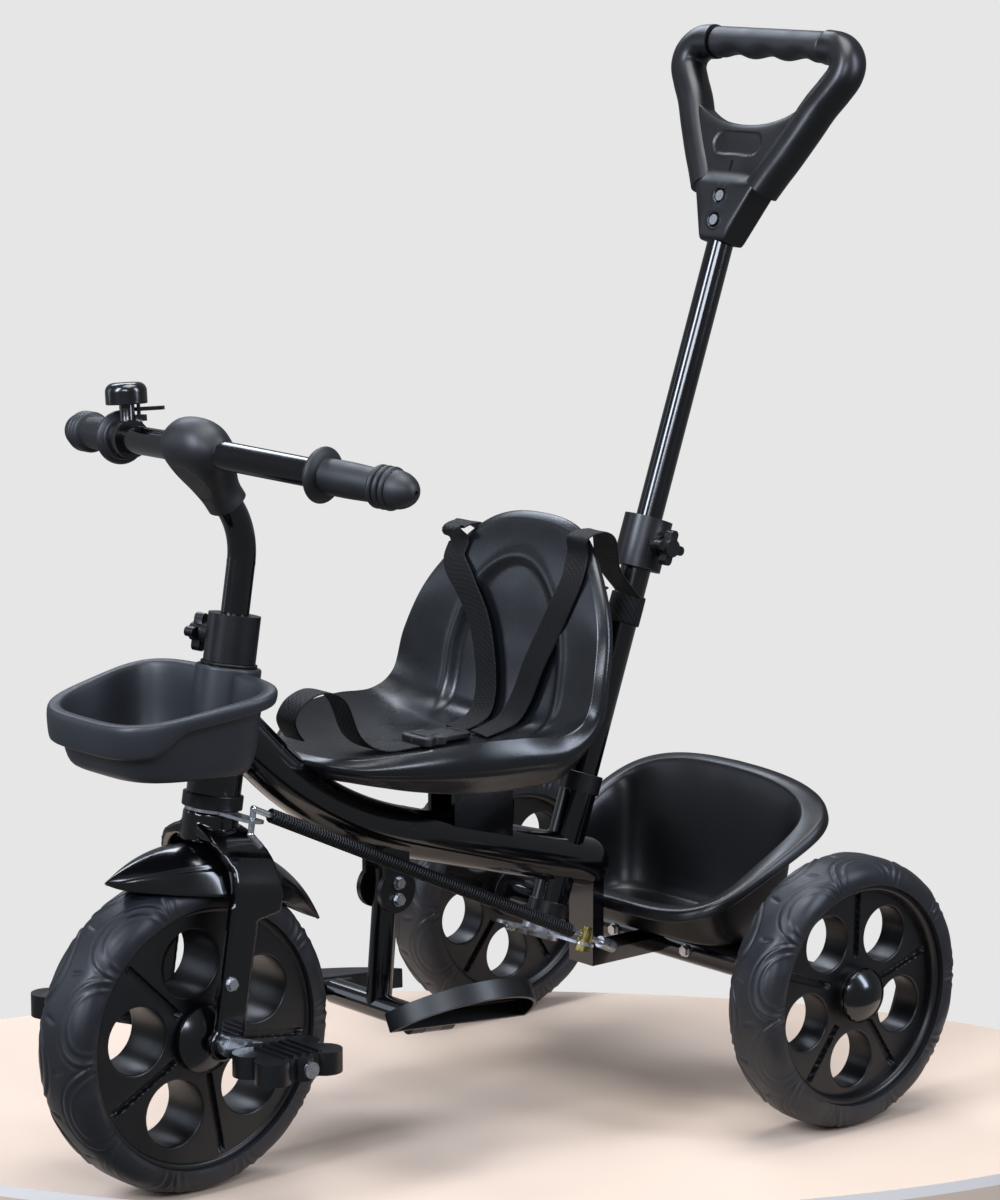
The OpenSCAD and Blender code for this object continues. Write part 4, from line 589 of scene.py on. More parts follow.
class TRIKE_OT_wheels(bpy.types.Operator):
    """Build the foam tyres with their leaf relief, the moulded wheels with five holes and the caps"""

    bl_idname = "trike.wheels"
    bl_label = "Wheels"

    def execute(self, context):
        depth = size("tyre_depth")
        wheels = (("front", "", FRONT_AXLE, 8), ("rear", "_left", REAR_LEFT, -16), ("rear", "_right", REAR_RIGHT, -16))
        for end, side, middle, turned_by in wheels:
            tyre, wheel = f"{end}_tyre{side}", f"{end}_wheel{side}"
            width, disc_half = size(end + "_width"), size(end + "_disc") / 2
            foam = tyre_surface(middle, width, depth, count("petals"), size("petal_rise"))
            piece(tyre + "_foam", [foam], "tyre", tyre, 60)
            rim_r, rim_half = middle[2] - depth, width / 2 - RIM_INSET
            hub_half = disc_half + HUB_PROUD if end == "front" else width / 2 - HUB_INSET
            hole_r, groove = size(end + "_hole") / 2, size("groove")
            parts = wheel_surfaces(middle, rim_r, rim_half, hub_half, disc_half, hole_r, groove, turned_by)
            piece(wheel + "_moulding", parts, "moulding", wheel, 40)
        rounded_copies("front_hub_caps rear_hub_cap_left rear_hub_cap_right", "gloss")
        return {"FINISHED"}


# Seat: knots at nine stations from the front lip up to the top, as (forward, up) from the seat's foot on the beam, of
# each face's middle line and of its rim

BEAM_SLOPE = math.radians(16.1)
SEAT_FORE, SEAT_RISE = 98.0, 56.0
SEAT_FOOT = PUSH_FOOT + [SEAT_FORE, 0, SEAT_FORE * math.tan(BEAM_SLOPE) + SEAT_RISE]
SEAT_HALVES = [[61], [82.96], [104.92], [117.12], [122], [122], [120], [110], [80]]
SITTING = (
    [[172, 44], [142, 40], [95, 34], [45, 33], [0, 36], [-30, 52], [-42, 105], [-51, 165], [-70, 204]],
    [[152, 44], [126, 52], [88, 57], [45, 57], [5, 55], [-18, 68], [-28, 102], [-41, 140], [-59, 184]],
)
UNDER = (
    [[176, 28], [142, 22], [95, 19], [45, 18], [-10, 18], [-52, 42], [-62, 105], [-71, 165], [-86, 200]],
    [[152, 23], [126, 18], [88, 15], [45, 15], [0, 20], [-36, 52], [-48, 96], [-61, 136], [-76, 180]],
)
PANEL_HALF, PANEL_MIDDLE, PANEL_UP, PANEL_DOWN, PANEL_DEPTH = 0.52, 0.72, 0.17, 0.6, 3.2
FULLEST, PARTING, TUCK = 0.38, 0.56, 7.0


def seat_face(face, u, v):
    """Point of a face of the seat: u from the right rim at -1 to the left at 1, v from the front lip up to the top.
    The face leaves its middle line for its rim with the 2.4th power of u."""
    m, r, half = (through(knots, v) for knots in (*face, SEAT_HALVES))
    line = m + (r - m) * abs(u)[..., None] ** 2.4
    return SEAT_FOOT + xyz(line[..., 0], half[..., 0] * u, line[..., 1])


def sitting(u, v, lift=0.0):
    """Points lifted off the sitting face, square to it."""
    u, v = np.asarray(u, float), np.asarray(v, float)
    h = 0.004
    up, down = np.minimum(v + h, 1), np.maximum(v - h, 0)
    du = seat_face(SITTING, u + h, v) - seat_face(SITTING, u - h, v)
    dv = seat_face(SITTING, u, up) - seat_face(SITTING, u, down)
    return seat_face(SITTING, u, v) + unit(np.cross(du, dv)) * lift


def seat_surface(roll):
    """The bucket: rings of a squared oval in u and v, from the middle out over the sitting face, round a rolled edge
    and back in under the shell. An arched panel is pressed into the backrest. The edge bulges, steps in 0.9 mm at its
    parting line and draws in."""
    angle, power = around(288), 5.2
    ring = (abs(np.cos(angle)) ** power + abs(np.sin(angle)) ** power) ** (-1 / power)
    out = np.sin(np.linspace(0, np.pi / 2, 64))[:, None] ** 0.9
    u = out * ring * np.cos(angle)
    v = 0.5 + 0.5 * out * ring * np.sin(angle)
    top, below = seat_face(SITTING, u, v), seat_face(UNDER, u, v)
    arch = np.hypot(u / PANEL_HALF, (v - PANEL_MIDDLE) / np.where(v > PANEL_MIDDLE, PANEL_UP, PANEL_DOWN))
    pressed = PANEL_DEPTH * soft_step((1.06 - arch) / 0.12) * soft_step((v - 0.5) / 0.14)
    lip = 1.5 * hump(arch - 1.1, 0.06) * soft_step((v - 0.55) / 0.1)
    top = top + unit(below - top) * (pressed - lip)[..., None]
    rim, drop = top[-1], below[-1] - top[-1]
    outward = unit(np.cross(drop, np.roll(rim, -1, 0) - np.roll(rim, 1, 0)))
    outward *= np.sign((outward * (rim - rim.mean(0))).sum(1, keepdims=True))
    q = np.linspace(0, 1, 26)[1:-1, None, None]
    quarter = np.pi / 2
    rising, falling = np.sin(q / FULLEST * quarter), abs(np.cos((q - FULLEST) / (1 - FULLEST) * quarter)) ** 0.8
    bulge = roll * np.where(q < FULLEST, rising, falling) - 0.9 * hump(q - PARTING, 0.03)
    edge = rim + drop * q + outward * (bulge - TUCK * soft_step((q - 0.5) / 0.5))
    pulled = below[::-1] - outward * TUCK * soft_step((out[::-1, None] - 0.8) / 0.2)
    return surface(np.concatenate([top, edge, pulled]))


class TRIKE_OT_seat(bpy.types.Operator):
    """Build the blow-moulded bucket seat"""

    bl_idname = "trike.seat"
    bl_label = "Seat"

    def execute(self, context):
        piece("seat_shell", [seat_surface(size("seat_roll"))], "seat", "seat", 75)
        return {"FINISHED"}


# Harness

TAPE_RING = 16
TAPE_LIFT = 2.5
LOOP_AT, LOOP_R, PUSH_TUBE_R = 202.0, 13.9, 13.1


def tape(name, knots, across, steps, replaced):
    """A length of webbing: a flat section with softened edges carried along a smooth path through knots, with a UV map
    whose v runs along it in metres. It is a sheet of its width and its path's length."""
    path = through(knots, np.linspace(0, 1, steps), True)
    width, n = size("strap_width"), TAPE_RING
    ring = oval(width, size("strap_thick"), n, 0.35)
    points, faces = surface(carried(path, ring, across))
    caps = np.array([[i, i + 1, n - 2 - i, n - 1 - i] for i in range(n // 2 - 1)])
    mesh = mesh_of(name, points, np.vstack([faces, caps, caps[:, ::-1] + (steps - 1) * n]))
    length = np.append(0, np.cumsum(np.linalg.norm(np.diff(path, axis=0), axis=1)))
    corner = np.zeros(len(mesh.loops), np.int32)
    mesh.loops.foreach_get("vertex_index", corner)
    uv = np.stack([ring[corner % n, 0], length[corner // n]], -1) * MM
    mesh.uv_layers.new(name="UVMap").data.foreach_set("uv", uv.astype(np.float32).ravel())
    made = dress(name, mesh, "webbing", "frame", replaced, 60)


BUCKLE_HALF, BUCKLE_AT = 27.0, 0.375


def buckle_surface():
    """The side-release buckle: squared ovals stacked along it, 35 mm wide in the body, 28 in the tongue and waisted at
    the spring tabs. Its top sinks by a groove between the halves, a slot at each end and the outlines of the tabs."""
    x = BUCKLE_HALF * np.sin(np.linspace(-np.pi / 2, np.pi / 2, 161))[:, None]
    ends = dome(abs(x / BUCKLE_HALF) ** 8)
    body = soft_step((x - 3) / 2)
    c, s = squared(around(120), 0.45, 0.25)
    y = (14 + 3.5 * body - 2.4 * hump(x - 13, 4.5)) * ends * c
    tall = (2.6 + 1.8 * body) * (0.35 + 0.65 * ends)
    slots = soft_step(2.6 - abs(x + 19)) + soft_step(2 - abs(x - 21))
    tabs = hump(abs(y) - 8 - 0.3 * (x - 5), 0.9) * soft_step(x - 4) * soft_step(17 - x)
    sunk = 1.6 * soft_step(11 - abs(y)) * slots + 1.1 * hump(x - 3, 0.9) + 0.9 * tabs
    grid = xyz(x, y, 5.2 + tall * s - sunk * (s > 0.4))
    return capped(grid + sitting(0, BUCKLE_AT) + [-10, 0, 0])


class TRIKE_OT_harness(bpy.types.Operator):
    """Build the shoulder straps, the front strap, the loop on the push bar and the buckle"""

    bl_idname = "trike.harness"
    bl_label = "Harness"

    def execute(self, context):
        width = size("strap_width")
        # each shoulder strap: its way up the backrest, the place where it leaves the rim and its rest on the loop
        routes = [
            ("left", 1, [0.12, 0.14, 0.17, 0.22, 0.3, 0.42, 0.55, 0.66, 0.74], (0.78, 0.97), 0.5),
            ("right", -1, [0.12, 0.12, 0.13, 0.16, 0.22, 0.33, 0.52, 0.74, 0.9], (0.95, 0.96), 2.0),
        ]
        for name, side, us, (u, v), stand in routes:
            over = sitting(side * u, v)
            end = on_push([PUSH_TUBE_R + stand, side * (width / 2 + 0.7), LOOP_AT + width - 1])
            arch = [over + offset for offset in ([4, 0, 12.8], [-10, 0, 16.8], [-24, 0, 11.8])]
            up_back = sitting(side * np.array(us), np.linspace(0.49, 0.96, 9), TAPE_LIFT)
            knots = np.vstack([up_back, *arch, (over + end) / 2 + [-4, 0, 5.8], end])
            tape(f"shoulder_strap_{name}_webbing", knots, ACROSS, 120, (f"shoulder_strap_{name}",))
        flat, rise, lip = sitting([0, 0], [0.33, 0.24], TAPE_LIFT), sitting(0, 0.18), sitting(0, 0)
        arch = [[-34, 0, 37.8], [-14, 0, 47.8], [6, 0, 42.8], [16, 0, 30.8], [14, 0, 20.8], [8, 0, 12.8]]
        knots = np.vstack([flat, rise + [0, 0, 13.8], lip + arch])
        tape("front_strap_webbing", knots, -ACROSS, 90, ("front_strap",))
        loop = ellipse(np.linspace(0, 2 * np.pi, 65), LOOP_R * FORE, LOOP_R * ACROSS) + (LOOP_AT + width / 2) * UP
        tape("push_loop_webbing", on_push(loop), PUSH_UP, 96, ())
        piece("buckle_halves", [buckle_surface()], "grip", "buckle", 40)
        return {"FINISHED"}


# Baskets: rows of a profile as (how far out from the foot's or the rim's oval, height, 1 at the rim or 0 at the foot,
# share of the apron's depth), and the radii of its corners

FRONT_BASKET = on_head([0, 0, 218.0]) + [60.0, 0, 0]
FRONT_HALF = (64.0, 92.0)
FRONT_ROWS = [
    (-26, 0, 0, 0), (-10, 0, 0, 0), (-4, 0, 1, -1), (5.5, -0.5, 1, -1),
    (7, 0, 1, 0), (-6, 0, 1, 0), (-12, 3, 0, 0), (-26, 3, 0, 0),
]
FRONT_RADII = [9, 2.5, 2, 4.5, 4.5, 8]
SLEEVE_IN, SLEEVE_R, SLEEVE_LOW, SLEEVE_TOP = 21.6, 25.75, 216.0, 287.4
REAR_BASKET = REAR_AXLE + [-7.0, 0, 15.03]
REAR_FOOT, REAR_RIM = (51.0, 104.88), (85.0, 138.0)
REAR_ROWS = [
    (-26, 0, 0, 0), (-2, 0, 0, 0), (-23, -8, 1, 0), (-3, -11, 1, 0), (0, -10, 1, 0),
    (-2, 0, 1, 0), (-23, -1, 1, 0), (-3, 3, 0, 0), (-26, 3, 0, 0),
]
REAR_RADII = [10, 3, 2, 2, 6, 7, 10]


def basket_surface(middle, foot, rim, rows, radii, power, tapers, top, apron):
    """A basket: squared ovals stacked by a softened profile, narrowing towards the front by a taper at the foot and one
    at the rim. The rim's height and the apron's depth are functions of the way to the front and of the way across."""
    table = [[*(np.array(rim if high else foot) + out), z, high, hang] for out, z, high, hang in rows]
    long, wide, z, high, hang = soften(table, radii).T[:, :, None]
    c, s = squared(around(224), power)
    fore = (c + 1) / 2
    taper = tapers[0] + (tapers[1] - tapers[0]) * high
    x, y = long * c, wide * s * (1 - taper * fore)
    grid = middle + xyz(x, y, z + high * top(fore, s) + hang * apron(fore))
    shrink = np.linspace(0, 1, 8)[:-1, None, None]
    low, up = grid[0].mean(0), grid[-1].mean(0)
    return surface(np.concatenate([low + (grid[0] - low) * shrink, grid, up + (grid[-1] - up) * shrink[::-1]]))


class TRIKE_OT_baskets(bpy.types.Operator):
    """Build the front basket with its sleeve on the head tube, and the rear basket"""

    bl_idname = "trike.baskets"
    bl_label = "Baskets"

    def execute(self, context):
        points, faces = basket_surface(
            FRONT_BASKET, FRONT_HALF, FRONT_HALF, FRONT_ROWS, FRONT_RADII, 0.55, (0.3, 0.3),
            lambda fore, s: 66 - 20 * fore,
            lambda fore: 10 + 15 * soft_step((fore - 0.66) / 0.22),
        )
        # faces inside the sleeve's wall are left out
        local = (points - FRONT_AXLE) @ HEAD.T
        buried = np.hypot(local[:, 0], local[:, 1]) < SLEEVE_R - 2
        faces = faces[~buried[faces].all(1)]
        ring = [(SLEEVE_IN, SLEEVE_LOW), (SLEEVE_R, SLEEVE_LOW), (SLEEVE_R, SLEEVE_TOP), (SLEEVE_IN, SLEEVE_TOP)]
        sleeve = lathe(soften(ring + ring[:1], [1.5, 2.5, 1.5]), FRONT_AXLE, HEAD_UP, 96)
        piece("front_basket_moulding", [(points, faces), sleeve], "basket", "front_basket", 50)
        rear = basket_surface(
            REAR_BASKET, REAR_FOOT, REAR_RIM, REAR_ROWS, REAR_RADII, 0.45, (0.0, 0.1),
            lambda fore, s: 113 - 77 * fore + 14 * (1 - s * s) * (1 - fore),
            lambda fore: 0,
        )
        # the rear basket takes the darker moulding colour, not the front basket's: its own black, deepened as painted
        # shade for its shadowed inside
        piece("rear_basket_moulding", [rear], "moulding", "rear_basket", 50)
        return {"FINISHED"}


# Steering

FENDER_REACH, FENDER_BACK, FENDER_HALF, FENDER_CROWN, FENDER_WALL = 103.0, 30.0, 43.0, 149.8, 2.2
FORK_VOXEL, FORK_PASSES = 1.2, 10


def fender_surface():
    """The fender: an arc about the front axle whose half width w follows a pointed oval in plan, and whose radius falls
    from its middle to its edge with the share of w: a dome to 0.74, a step of 3.4 mm, and a skirt that flares down."""
    lens = (FENDER_REACH**2 + FENDER_HALF**2) / (2 * FENDER_HALF)
    x = FENDER_REACH * np.sin(np.linspace(-np.pi / 2, np.pi / 2, 121))[:, None]
    w = np.maximum(np.sqrt(lens**2 - x**2) - (lens - FENDER_HALF), 0.6)
    share = np.linspace(-1, 1, 97)
    q = abs(share)
    fall = 12.5 * (np.minimum(q, 0.74) / 0.74) ** 2 + 3.4 * soft_step((q - 0.735) / 0.03)
    fall += 20.0 * np.clip((q - 0.78) / 0.22, 0, 1) ** 1.25
    r = FENDER_CROWN - fall * (w / FENDER_HALF) ** 0.6
    angle = np.arcsin(np.clip((x - FENDER_BACK) / FENDER_CROWN, -1, 1))
    grid = xyz(r * np.sin(angle), share * w, r * np.cos(angle))
    return surface(grid + FRONT_AXLE, close_columns=False)


class TRIKE_OT_steering(bpy.types.Operator):
    """Build the fork, the fender, the collars, the knobs and the bushes"""

    bl_idname = "trike.steering"
    bl_label = "Steering"

    def execute(self, context):
        flowing_copy("fork", "paint", FORK_VOXEL, FORK_PASSES)
        fender = piece("fender_moulding", [fender_surface()], "gloss", "fender", 50)
        if fender.data.polygons[len(fender.data.polygons) // 2].normal.z < 0:
            fender.data.flip_normals()
        put(fender.modifiers.new("wall", "SOLIDIFY"), thickness=FENDER_WALL * MM, offset=-1)
        rounded_copies("stem_collar push_collar tube_bushes stem_knob push_knob footrest_bracket", "moulding")
        return {"FINISHED"}


# Handlebar: the stem rises along the steering axis, bends forward and goes on straight to the bar

STEM_BEND, STEM_BEND_R, STEM_STRAIGHT, STEM_RISE = math.radians(44.5), 60.0, 58.0, 368.0
STEM_TOP = np.array([math.sin(STEM_BEND), 0, math.cos(STEM_BEND)])
BAR_MIDDLE = on_head(
    [STEM_BEND_R * (1 - STEM_TOP[2]), 0, STEM_RISE + STEM_BEND_R * STEM_TOP[0]] + STEM_STRAIGHT * STEM_TOP
)
BAR_SWEEP, BAR_DROOP = math.radians(10.5), math.radians(3)
BELL_EDGE = 0.8


def bar_direction(side):
    """Outward direction of one half of the handlebar, swept back and drooping."""
    level = np.array([-math.sin(BAR_SWEEP), side * math.cos(BAR_SWEEP), 0])
    return level * math.cos(BAR_DROOP) - UP * math.sin(BAR_DROOP)


GRIP_START, GRIP_END, GRIP_R, GRIP_BORE = 125.0, 222.0, 13.3, 11.2
RIB_START, RIB_PITCH, RIB_RISE = 187.5, 5.8, 3.1


def grip_profile(ribs):
    """Profile of a grip from its flange outwards: a rounded flange, a barrel that swells a little, ring ribs and a
    domed end with a dimple."""
    z = np.linspace(GRIP_START, GRIP_END - 0.5, 460)
    barrel = GRIP_R + 0.5 * np.cos((z - 152) / 40 * np.pi)
    flange, collar = 12 + 9.5 * dome((z - 131) / 5), 12 + 5.5 * dome((z - 126.5) / 2.4)
    r = np.maximum(np.maximum(barrel, flange), collar)
    nearest = RIB_START + RIB_PITCH * np.clip(np.round((z - RIB_START) / RIB_PITCH), 0, ribs - 1)
    after = RIB_START + RIB_PITCH * (ribs - 0.5)
    ribbed = abs(z - (RIB_START + after) / 2) < (after - RIB_START) / 2 + 2.9
    r = np.where(ribbed, 13.4 + RIB_RISE * dome((z - nearest) / 2.75), r)
    r = np.where(z > after, 14.6 * dome(np.maximum(z - after, 0) / (GRIP_END - after)), r)
    dimple = [[1.9, GRIP_END - 0.3], [1.5, GRIP_END - 2.5], [0.0, GRIP_END - 2.7]]
    return np.vstack([[GRIP_BORE, GRIP_START], np.stack([r, z], -1), dimple])


COVER_LENGTH, COVER_BELOW, COVER_DOME = 78.0, 54.0, 0.7


def cover_surface():
    """The pear-shaped cover: squared ovals stacked along the stem's upper line, growing from the neck to the bar and
    closing in a dome, with a bare oval recess of 0.9 mm pressed into its front."""
    along = STEM_TOP @ HEAD
    closing = np.sin(np.linspace(0, np.pi / 2, 40))[1:]
    q = np.concatenate([np.linspace(0, COVER_DOME, 60), COVER_DOME + (1 - COVER_DOME) * closing])[:, None]
    shut = dome(np.maximum(q - COVER_DOME, 0) / (1 - COVER_DOME))
    grow = soft_step((q - 0.08) / 0.56)
    c, s = squared(around(96), 0.85)
    x = (15.0 + 6.5 * grow) * shut * c - 3.0 * grow
    y = (15.5 + 17.0 * grow) * shut * s
    z = q * COVER_LENGTH
    inside = np.hypot(y / 14.0, (z - 34.0) / 19.0)
    x = x - 0.9 * soft_step((1.04 - inside) / 0.08) * (c > 0)
    grid = xyz(x, y, z) @ [np.cross(ACROSS, along), ACROSS, along]
    return capped(BAR_MIDDLE - along * COVER_BELOW + grid)


class TRIKE_OT_handlebar(bpy.types.Operator):
    """Build the grips, the moulded cover of the clamp and the bell"""

    bl_idname = "trike.handlebar"
    bl_label = "Handlebar"

    def execute(self, context):
        for side, node in ((1, "grip_left"), (-1, "grip_right")):
            made = lathe(grip_profile(count("grip_ribs")), BAR_MIDDLE, bar_direction(side), 72)
            piece(node + "_sleeve", [made], "grip", node, 50)
        piece("bar_cover_moulding", [cover_surface()], "grip", "bar_cover", 50)
        rounded_copies("bell_base bell_dome bell_striker", "gloss", BELL_EDGE)
        return {"FINISHED"}


# Push bar

PUSH_GRIP_AT, PUSH_GRIP_HALF, PUSH_GRIP_R, WAVE_SPAN = 705.0, 66.0, 13.3, 60.0
HANDLE_FOOT, NECK_TOP = 531.0, 47.0
BOWL_HALF, BOWL_DEPTH, BOWL_TOP = 80.0, 48.0, 150.0
SCREW_HEIGHTS = (17.0, 38.0)
LIMB_KNOTS = [
    [32, 49], [41, 64], [50, 78], [64, 102], [75, 122], [86.5, 138], [94, 151], [93, 163], [83, 172], [67.5, 174],
]


def push_grip_surface(waves):
    """The push grip: a round bar whose lower side is hollowed by finger waves, a raised cosine along its length that
    fades round the bar."""
    y = np.linspace(-PUSH_GRIP_HALF, PUSH_GRIP_HALF, 180)[:, None]
    a = around(64)
    wave = 1.7 * (1 - np.cos((y / WAVE_SPAN + 1) * np.pi * waves)) * soft_step((WAVE_SPAN - abs(y)) / 10)
    end = dome(np.clip(abs(y) - PUSH_GRIP_HALF + 3, 0, 3) / 3.2)
    r = PUSH_GRIP_R - wave * np.clip(-np.sin(a), 0, 1) ** 1.5 - 2.5 * (1 - end)
    return capped(on_push(xyz(r * np.cos(a), y, PUSH_GRIP_AT + r * np.sin(a))))


def handle_limb(side):
    """One limb of the handle: an oval of 29 by 30 mm carried from the shoulder up and round to the grip."""
    path = through([[0, side * y, z + HANDLE_FOOT] for y, z in LIMB_KNOTS], np.linspace(0, 1, 90), True)
    grid = carried(path, oval(30, 29, 48, 0.9), FORE)
    inner = path[0] + (grid[:1] - path[0]) * 0.92
    return capped(on_push(np.concatenate([inner, grid])))


def handle_web():
    """Neck and web of the handle: at each place y across it, a squared oval between the lower outline and the lower
    edge of the loop, half an ellipse. The neck is 4 mm thicker on each face. A long round panel is pressed 1.2 mm into
    the front, and each screw sits in a counterbore with a raised ring."""
    y = 78 * np.sin(np.linspace(-np.pi / 2, np.pi / 2, 201))[:, None]
    low = np.interp(abs(y), [0, 15, 36, 84.5], [0, 0, NECK_TOP, 146])
    top = BOWL_TOP - BOWL_DEPTH * dome(y / BOWL_HALF)
    c, s = squared(around(220), 0.22, 0.7)
    z = (low + top) / 2 + (top - low) / 2 * s
    thick = 15 - 4 * soft_step((z - NECK_TOP) / 14)
    panel = np.hypot(np.maximum(abs(y) - 18, 0), z - 85)
    pressed = 1.2 * soft_step((10.4 - panel) / 0.8)
    for height in SCREW_HEIGHTS:
        ring = np.hypot(y, z - height)
        pressed += 3.6 * soft_step(6.2 - ring) - 0.7 * hump(ring - 7.6, 0.9)
    return capped(on_push(xyz(thick * c - pressed * (c > 0.5), y, z + HANDLE_FOOT)))


class TRIKE_OT_push_bar(bpy.types.Operator):
    """Build the handle of the push bar and its grip"""

    bl_idname = "trike.push_bar"
    bl_label = "Push bar"

    def execute(self, context):
        parts = [handle_limb(1), handle_limb(-1), handle_web()]
        piece("push_handle_moulding", parts, "moulding", "push_handle", 50)
        piece("push_grip_sleeve", [push_grip_surface(count("grip_waves"))], "grip", "push_grip", 60)
        return {"FINISHED"}


# Pedals, footrest and steering link


class TRIKE_OT_pedals(bpy.types.Operator):
    """Build the pedals and the folding footplates"""

    bl_idname = "trike.pedals"
    bl_label = "Pedals and footplates"

    def execute(self, context):
        rounded_copies("pedal_left pedal_right footplate_left footplate_right", "moulding")
        return {"FINISHED"}


LINK_REAR, LINK_FRONT = LINK_PIVOT + 6.25 * PUSH_UP, on_head([0, 52.0, 184.5])
COIL_SET_BACK, COIL_R, COIL_WIRE, CURL_STEPS, WIRE_STEPS = 17.2, 4.7, 2.1, 20, 8


class TRIKE_OT_link(bpy.types.Operator):
    """Wind the spring sleeve round the steering link"""

    bl_idname = "trike.link"
    bl_label = "Steering link"

    def execute(self, context):
        curls = count("curls")
        length = np.linalg.norm(LINK_FRONT - LINK_REAR)
        along = (LINK_FRONT - LINK_REAR) / length
        k = np.linspace(0, 1, curls * CURL_STEPS + 1)
        out = ellipse(k * curls * 2 * np.pi, ACROSS, np.cross(ACROSS, along))
        way = COIL_SET_BACK + (length - 2 * COIL_SET_BACK) * k
        path = LINK_REAR + way[:, None] * along + COIL_R * out
        points, faces = surface(carried(path, oval(COIL_WIRE, COIL_WIRE, WIRE_STEPS), out))
        caps = np.array([[0, 1, 2, 3], [0, 3, 4, 7], [4, 5, 6, 7]])
        last = caps[:, ::-1] + (len(path) - 1) * WIRE_STEPS
        piece("link_spring_coil", [(points, np.vstack([faces, caps, last]))], "spring", "link_spring", 80)
        return {"FINISHED"}


# Stage

CAMERA_AT = np.array([2323.5, 2509.7, 1037.5]) + [REAR_AXLE[0], 0, 0]
CAMERA_LOOK = np.array([-0.638, -0.7482, -0.182])
LENS, SENSOR, CLIP_END = 123.72, 36, 50
VIEW_RIGHT = unit(np.cross(CAMERA_LOOK, UP))
VIEW_AWAY = np.cross(UP, VIEW_RIGHT)
PODIUM_MIDDLE = np.array([-67.0, -44.0, -0.05])
PODIUM_LONG, PODIUM_DEEP = 585.0, 310.0
PODIUM_EDGE, PODIUM_HEIGHT = 9.0, 120.0
LAMP_TARGET = Vector((0, 0, 0.35))
WORLD_TINT, WORLD_STRENGTH = (0.92, 0.96, 1, 1), 0.2

# Softboxes: metres to the right, nearer the camera and up, width and height in metres, watts and tint
SOFTBOXES = {
    "key_softbox": (-1.9, 1.6, 2.0, 0.7, 1.8, 92, "#E2ECFF"),
    "fill_softbox": (2.2, 1.0, 1.7, 0.6, 1.8, 50, "#DFEAFF"),
    "top_softbox": (0.2, 0.1, 2.9, 1.8, 1.4, 66, "#F6F9FF"),
    "front_softbox": (-0.3, 3.6, 2.3, 1.6, 0.7, 60, "#E8F0FF"),
    "side_softbox": (-2.4, -0.4, 1.0, 0.7, 1.3, 5, "#DCE8FF"),
    "back_softbox": (-0.7, -1.7, 2.2, 1.6, 0.7, 32, "#E6EFFF"),
}


def aimed(name, data, place, look):
    """A lamp or camera at a place in metres, looking along a direction."""
    return put(linked(name, data), location=place, rotation_euler=look.to_track_quat("-Z", "Y").to_euler())


def podium_piece(name, rings, material):
    """A part of the podium from rings, each a share of its oval and a height; its long axis is square to the view."""
    ring = ellipse(around(160), PODIUM_LONG * VIEW_RIGHT, PODIUM_DEEP * VIEW_AWAY)
    grid = np.array([PODIUM_MIDDLE + share * ring + height * UP for share, height in rings])
    mesh = mesh_of(name, *surface(grid))
    mesh.shade_smooth()
    mesh.materials.append(material)
    linked(name, mesh)


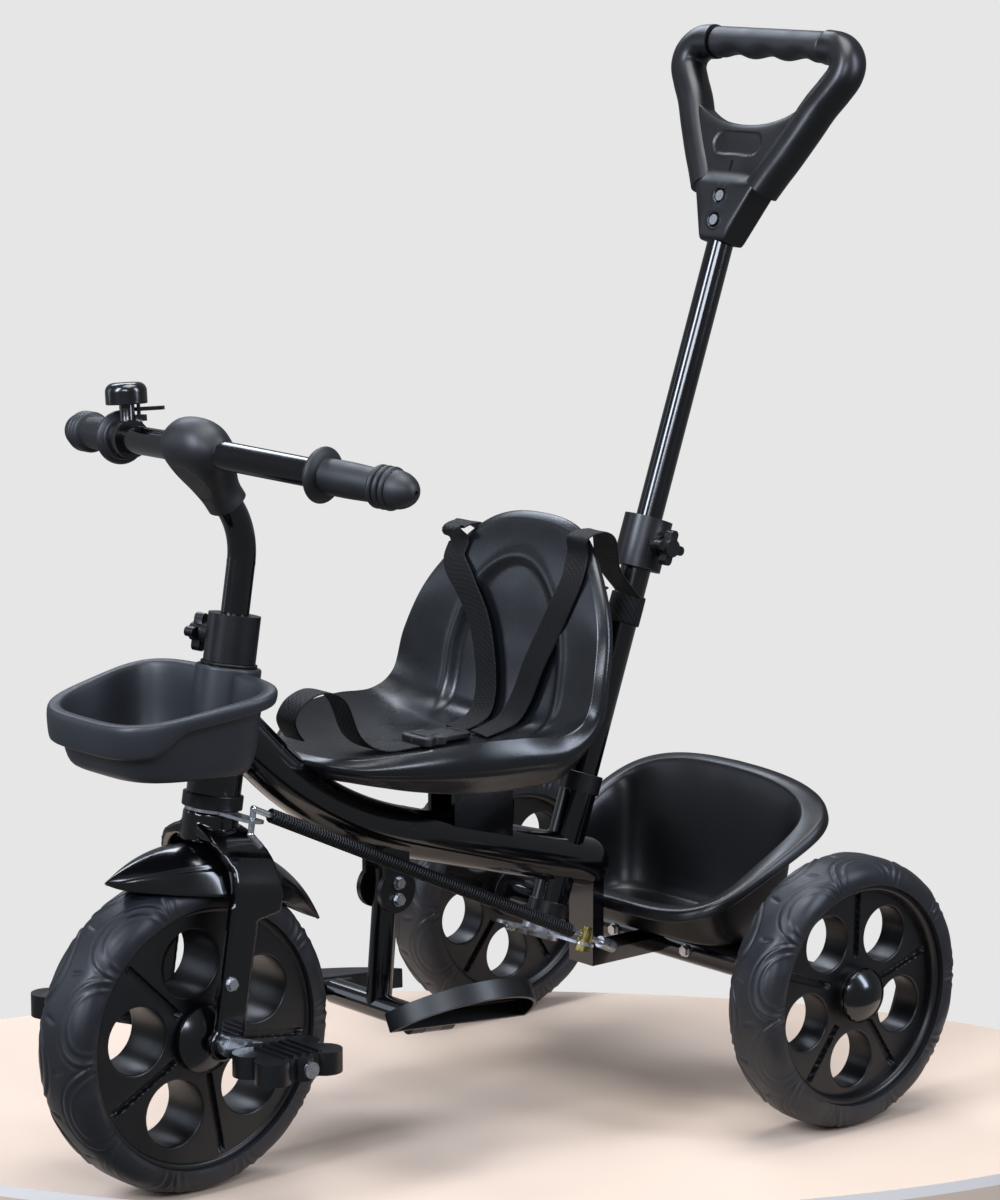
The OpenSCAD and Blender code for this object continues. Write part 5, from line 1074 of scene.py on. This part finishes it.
class TRIKE_OT_stage(bpy.types.Operator):
    """Set the podium, the lights, the backdrop and the camera"""

    bl_idname = "trike.stage"
    bl_label = "Stage"

    def execute(self, context):
        scene = context.scene
        scene.view_settings.view_transform = "Standard"
        beige, *_ = finish("matt_beige_paint", colour("floor"), 0.75, {})
        edge_highlight_finish, *_ = finish("painted_edge_highlight", colour("edge"), 0.7, {})
        podium_piece("podium_top", [(share, 0) for share in (0.0, 0.4, 0.8, 1.0)], beige)
        # the pale band below the top's rim is a painted highlight on the podium's edge
        podium_piece("podium_edge", [(1, 0), (1, -PODIUM_EDGE)], edge_highlight_finish)
        podium_piece("podium_side", [(1, -PODIUM_EDGE), (1, -PODIUM_HEIGHT)], beige)
        world = bpy.data.worlds.new("studio")
        scene.world = world
        world.use_nodes = True
        tree = world.node_tree
        tree.nodes.clear()
        ray = add(tree, "LightPath").outputs["Is Camera Ray"]
        light, seen = (
            add(tree, "Background", {"Color": tint, "Strength": strength}).outputs["Background"]
            for tint, strength in ((WORLD_TINT, WORLD_STRENGTH), ((*colour("backdrop"), 1), 1.0))
        )
        pick = add(tree, "MixShader", {"Fac": ray, 1: light, 2: seen})
        add(tree, "OutputWorld", {"Surface": pick.outputs["Shader"]})
        for name, (sideways, nearer, height, wide, tall, power, tint) in SOFTBOXES.items():
            lamp = put(bpy.data.lights.new(name, "AREA"), shape="RECTANGLE", size=wide, size_y=tall, energy=power)
            lamp.color = hex_linear(tint)
            place = Vector(VIEW_RIGHT * sideways - VIEW_AWAY * nearer + UP * height)
            aimed(name, lamp, place, LAMP_TARGET - place)
        data = put(bpy.data.cameras.new("photo_view"), sensor_width=SENSOR, lens=LENS, clip_end=CLIP_END)
        scene.camera = aimed("photo_view", data, Vector(CAMERA_AT * MM), Vector(CAMERA_LOOK))
        return {"FINISHED"}


OPERATORS = (
    TRIKE_OT_finishes, TRIKE_OT_wheels, TRIKE_OT_seat, TRIKE_OT_harness, TRIKE_OT_baskets, TRIKE_OT_steering,
    TRIKE_OT_handlebar, TRIKE_OT_push_bar, TRIKE_OT_pedals, TRIKE_OT_link, TRIKE_OT_stage,
)


class VIEW3D_PT_trike(bpy.types.Panel):
    """Sidebar panel with every step of the trike's looks"""

    bl_label = "Toddler trike"
    bl_space_type = "VIEW_3D"
    bl_region_type = "UI"
    bl_category = "Trike"

    def draw(self, context):
        for made in OPERATORS:
            self.layout.operator(made.bl_idname)
        for group in (context.scene.trike_sizes, context.scene.trike_colours):
            box = self.layout.box()
            for name in group.__annotations__:
                box.prop(group, name)


CLASSES = (TrikeSizes, TrikeColours, *OPERATORS, VIEW3D_PT_trike)


def register():
    for made in CLASSES:
        bpy.utils.register_class(made)
    bpy.types.Scene.trike_sizes = bpy.props.PointerProperty(type=TrikeSizes)
    bpy.types.Scene.trike_colours = bpy.props.PointerProperty(type=TrikeColours)


def unregister():
    del bpy.types.Scene.trike_colours
    del bpy.types.Scene.trike_sizes
    for made in reversed(CLASSES):
        bpy.utils.unregister_class(made)


def main():
    """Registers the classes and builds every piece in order."""
    register()
    for made in OPERATORS:
        group, name = made.bl_idname.split(".")
        getattr(getattr(bpy.ops, group), name)()
    bpy.context.view_layer.update()


if __name__ == "__main__":
    main()
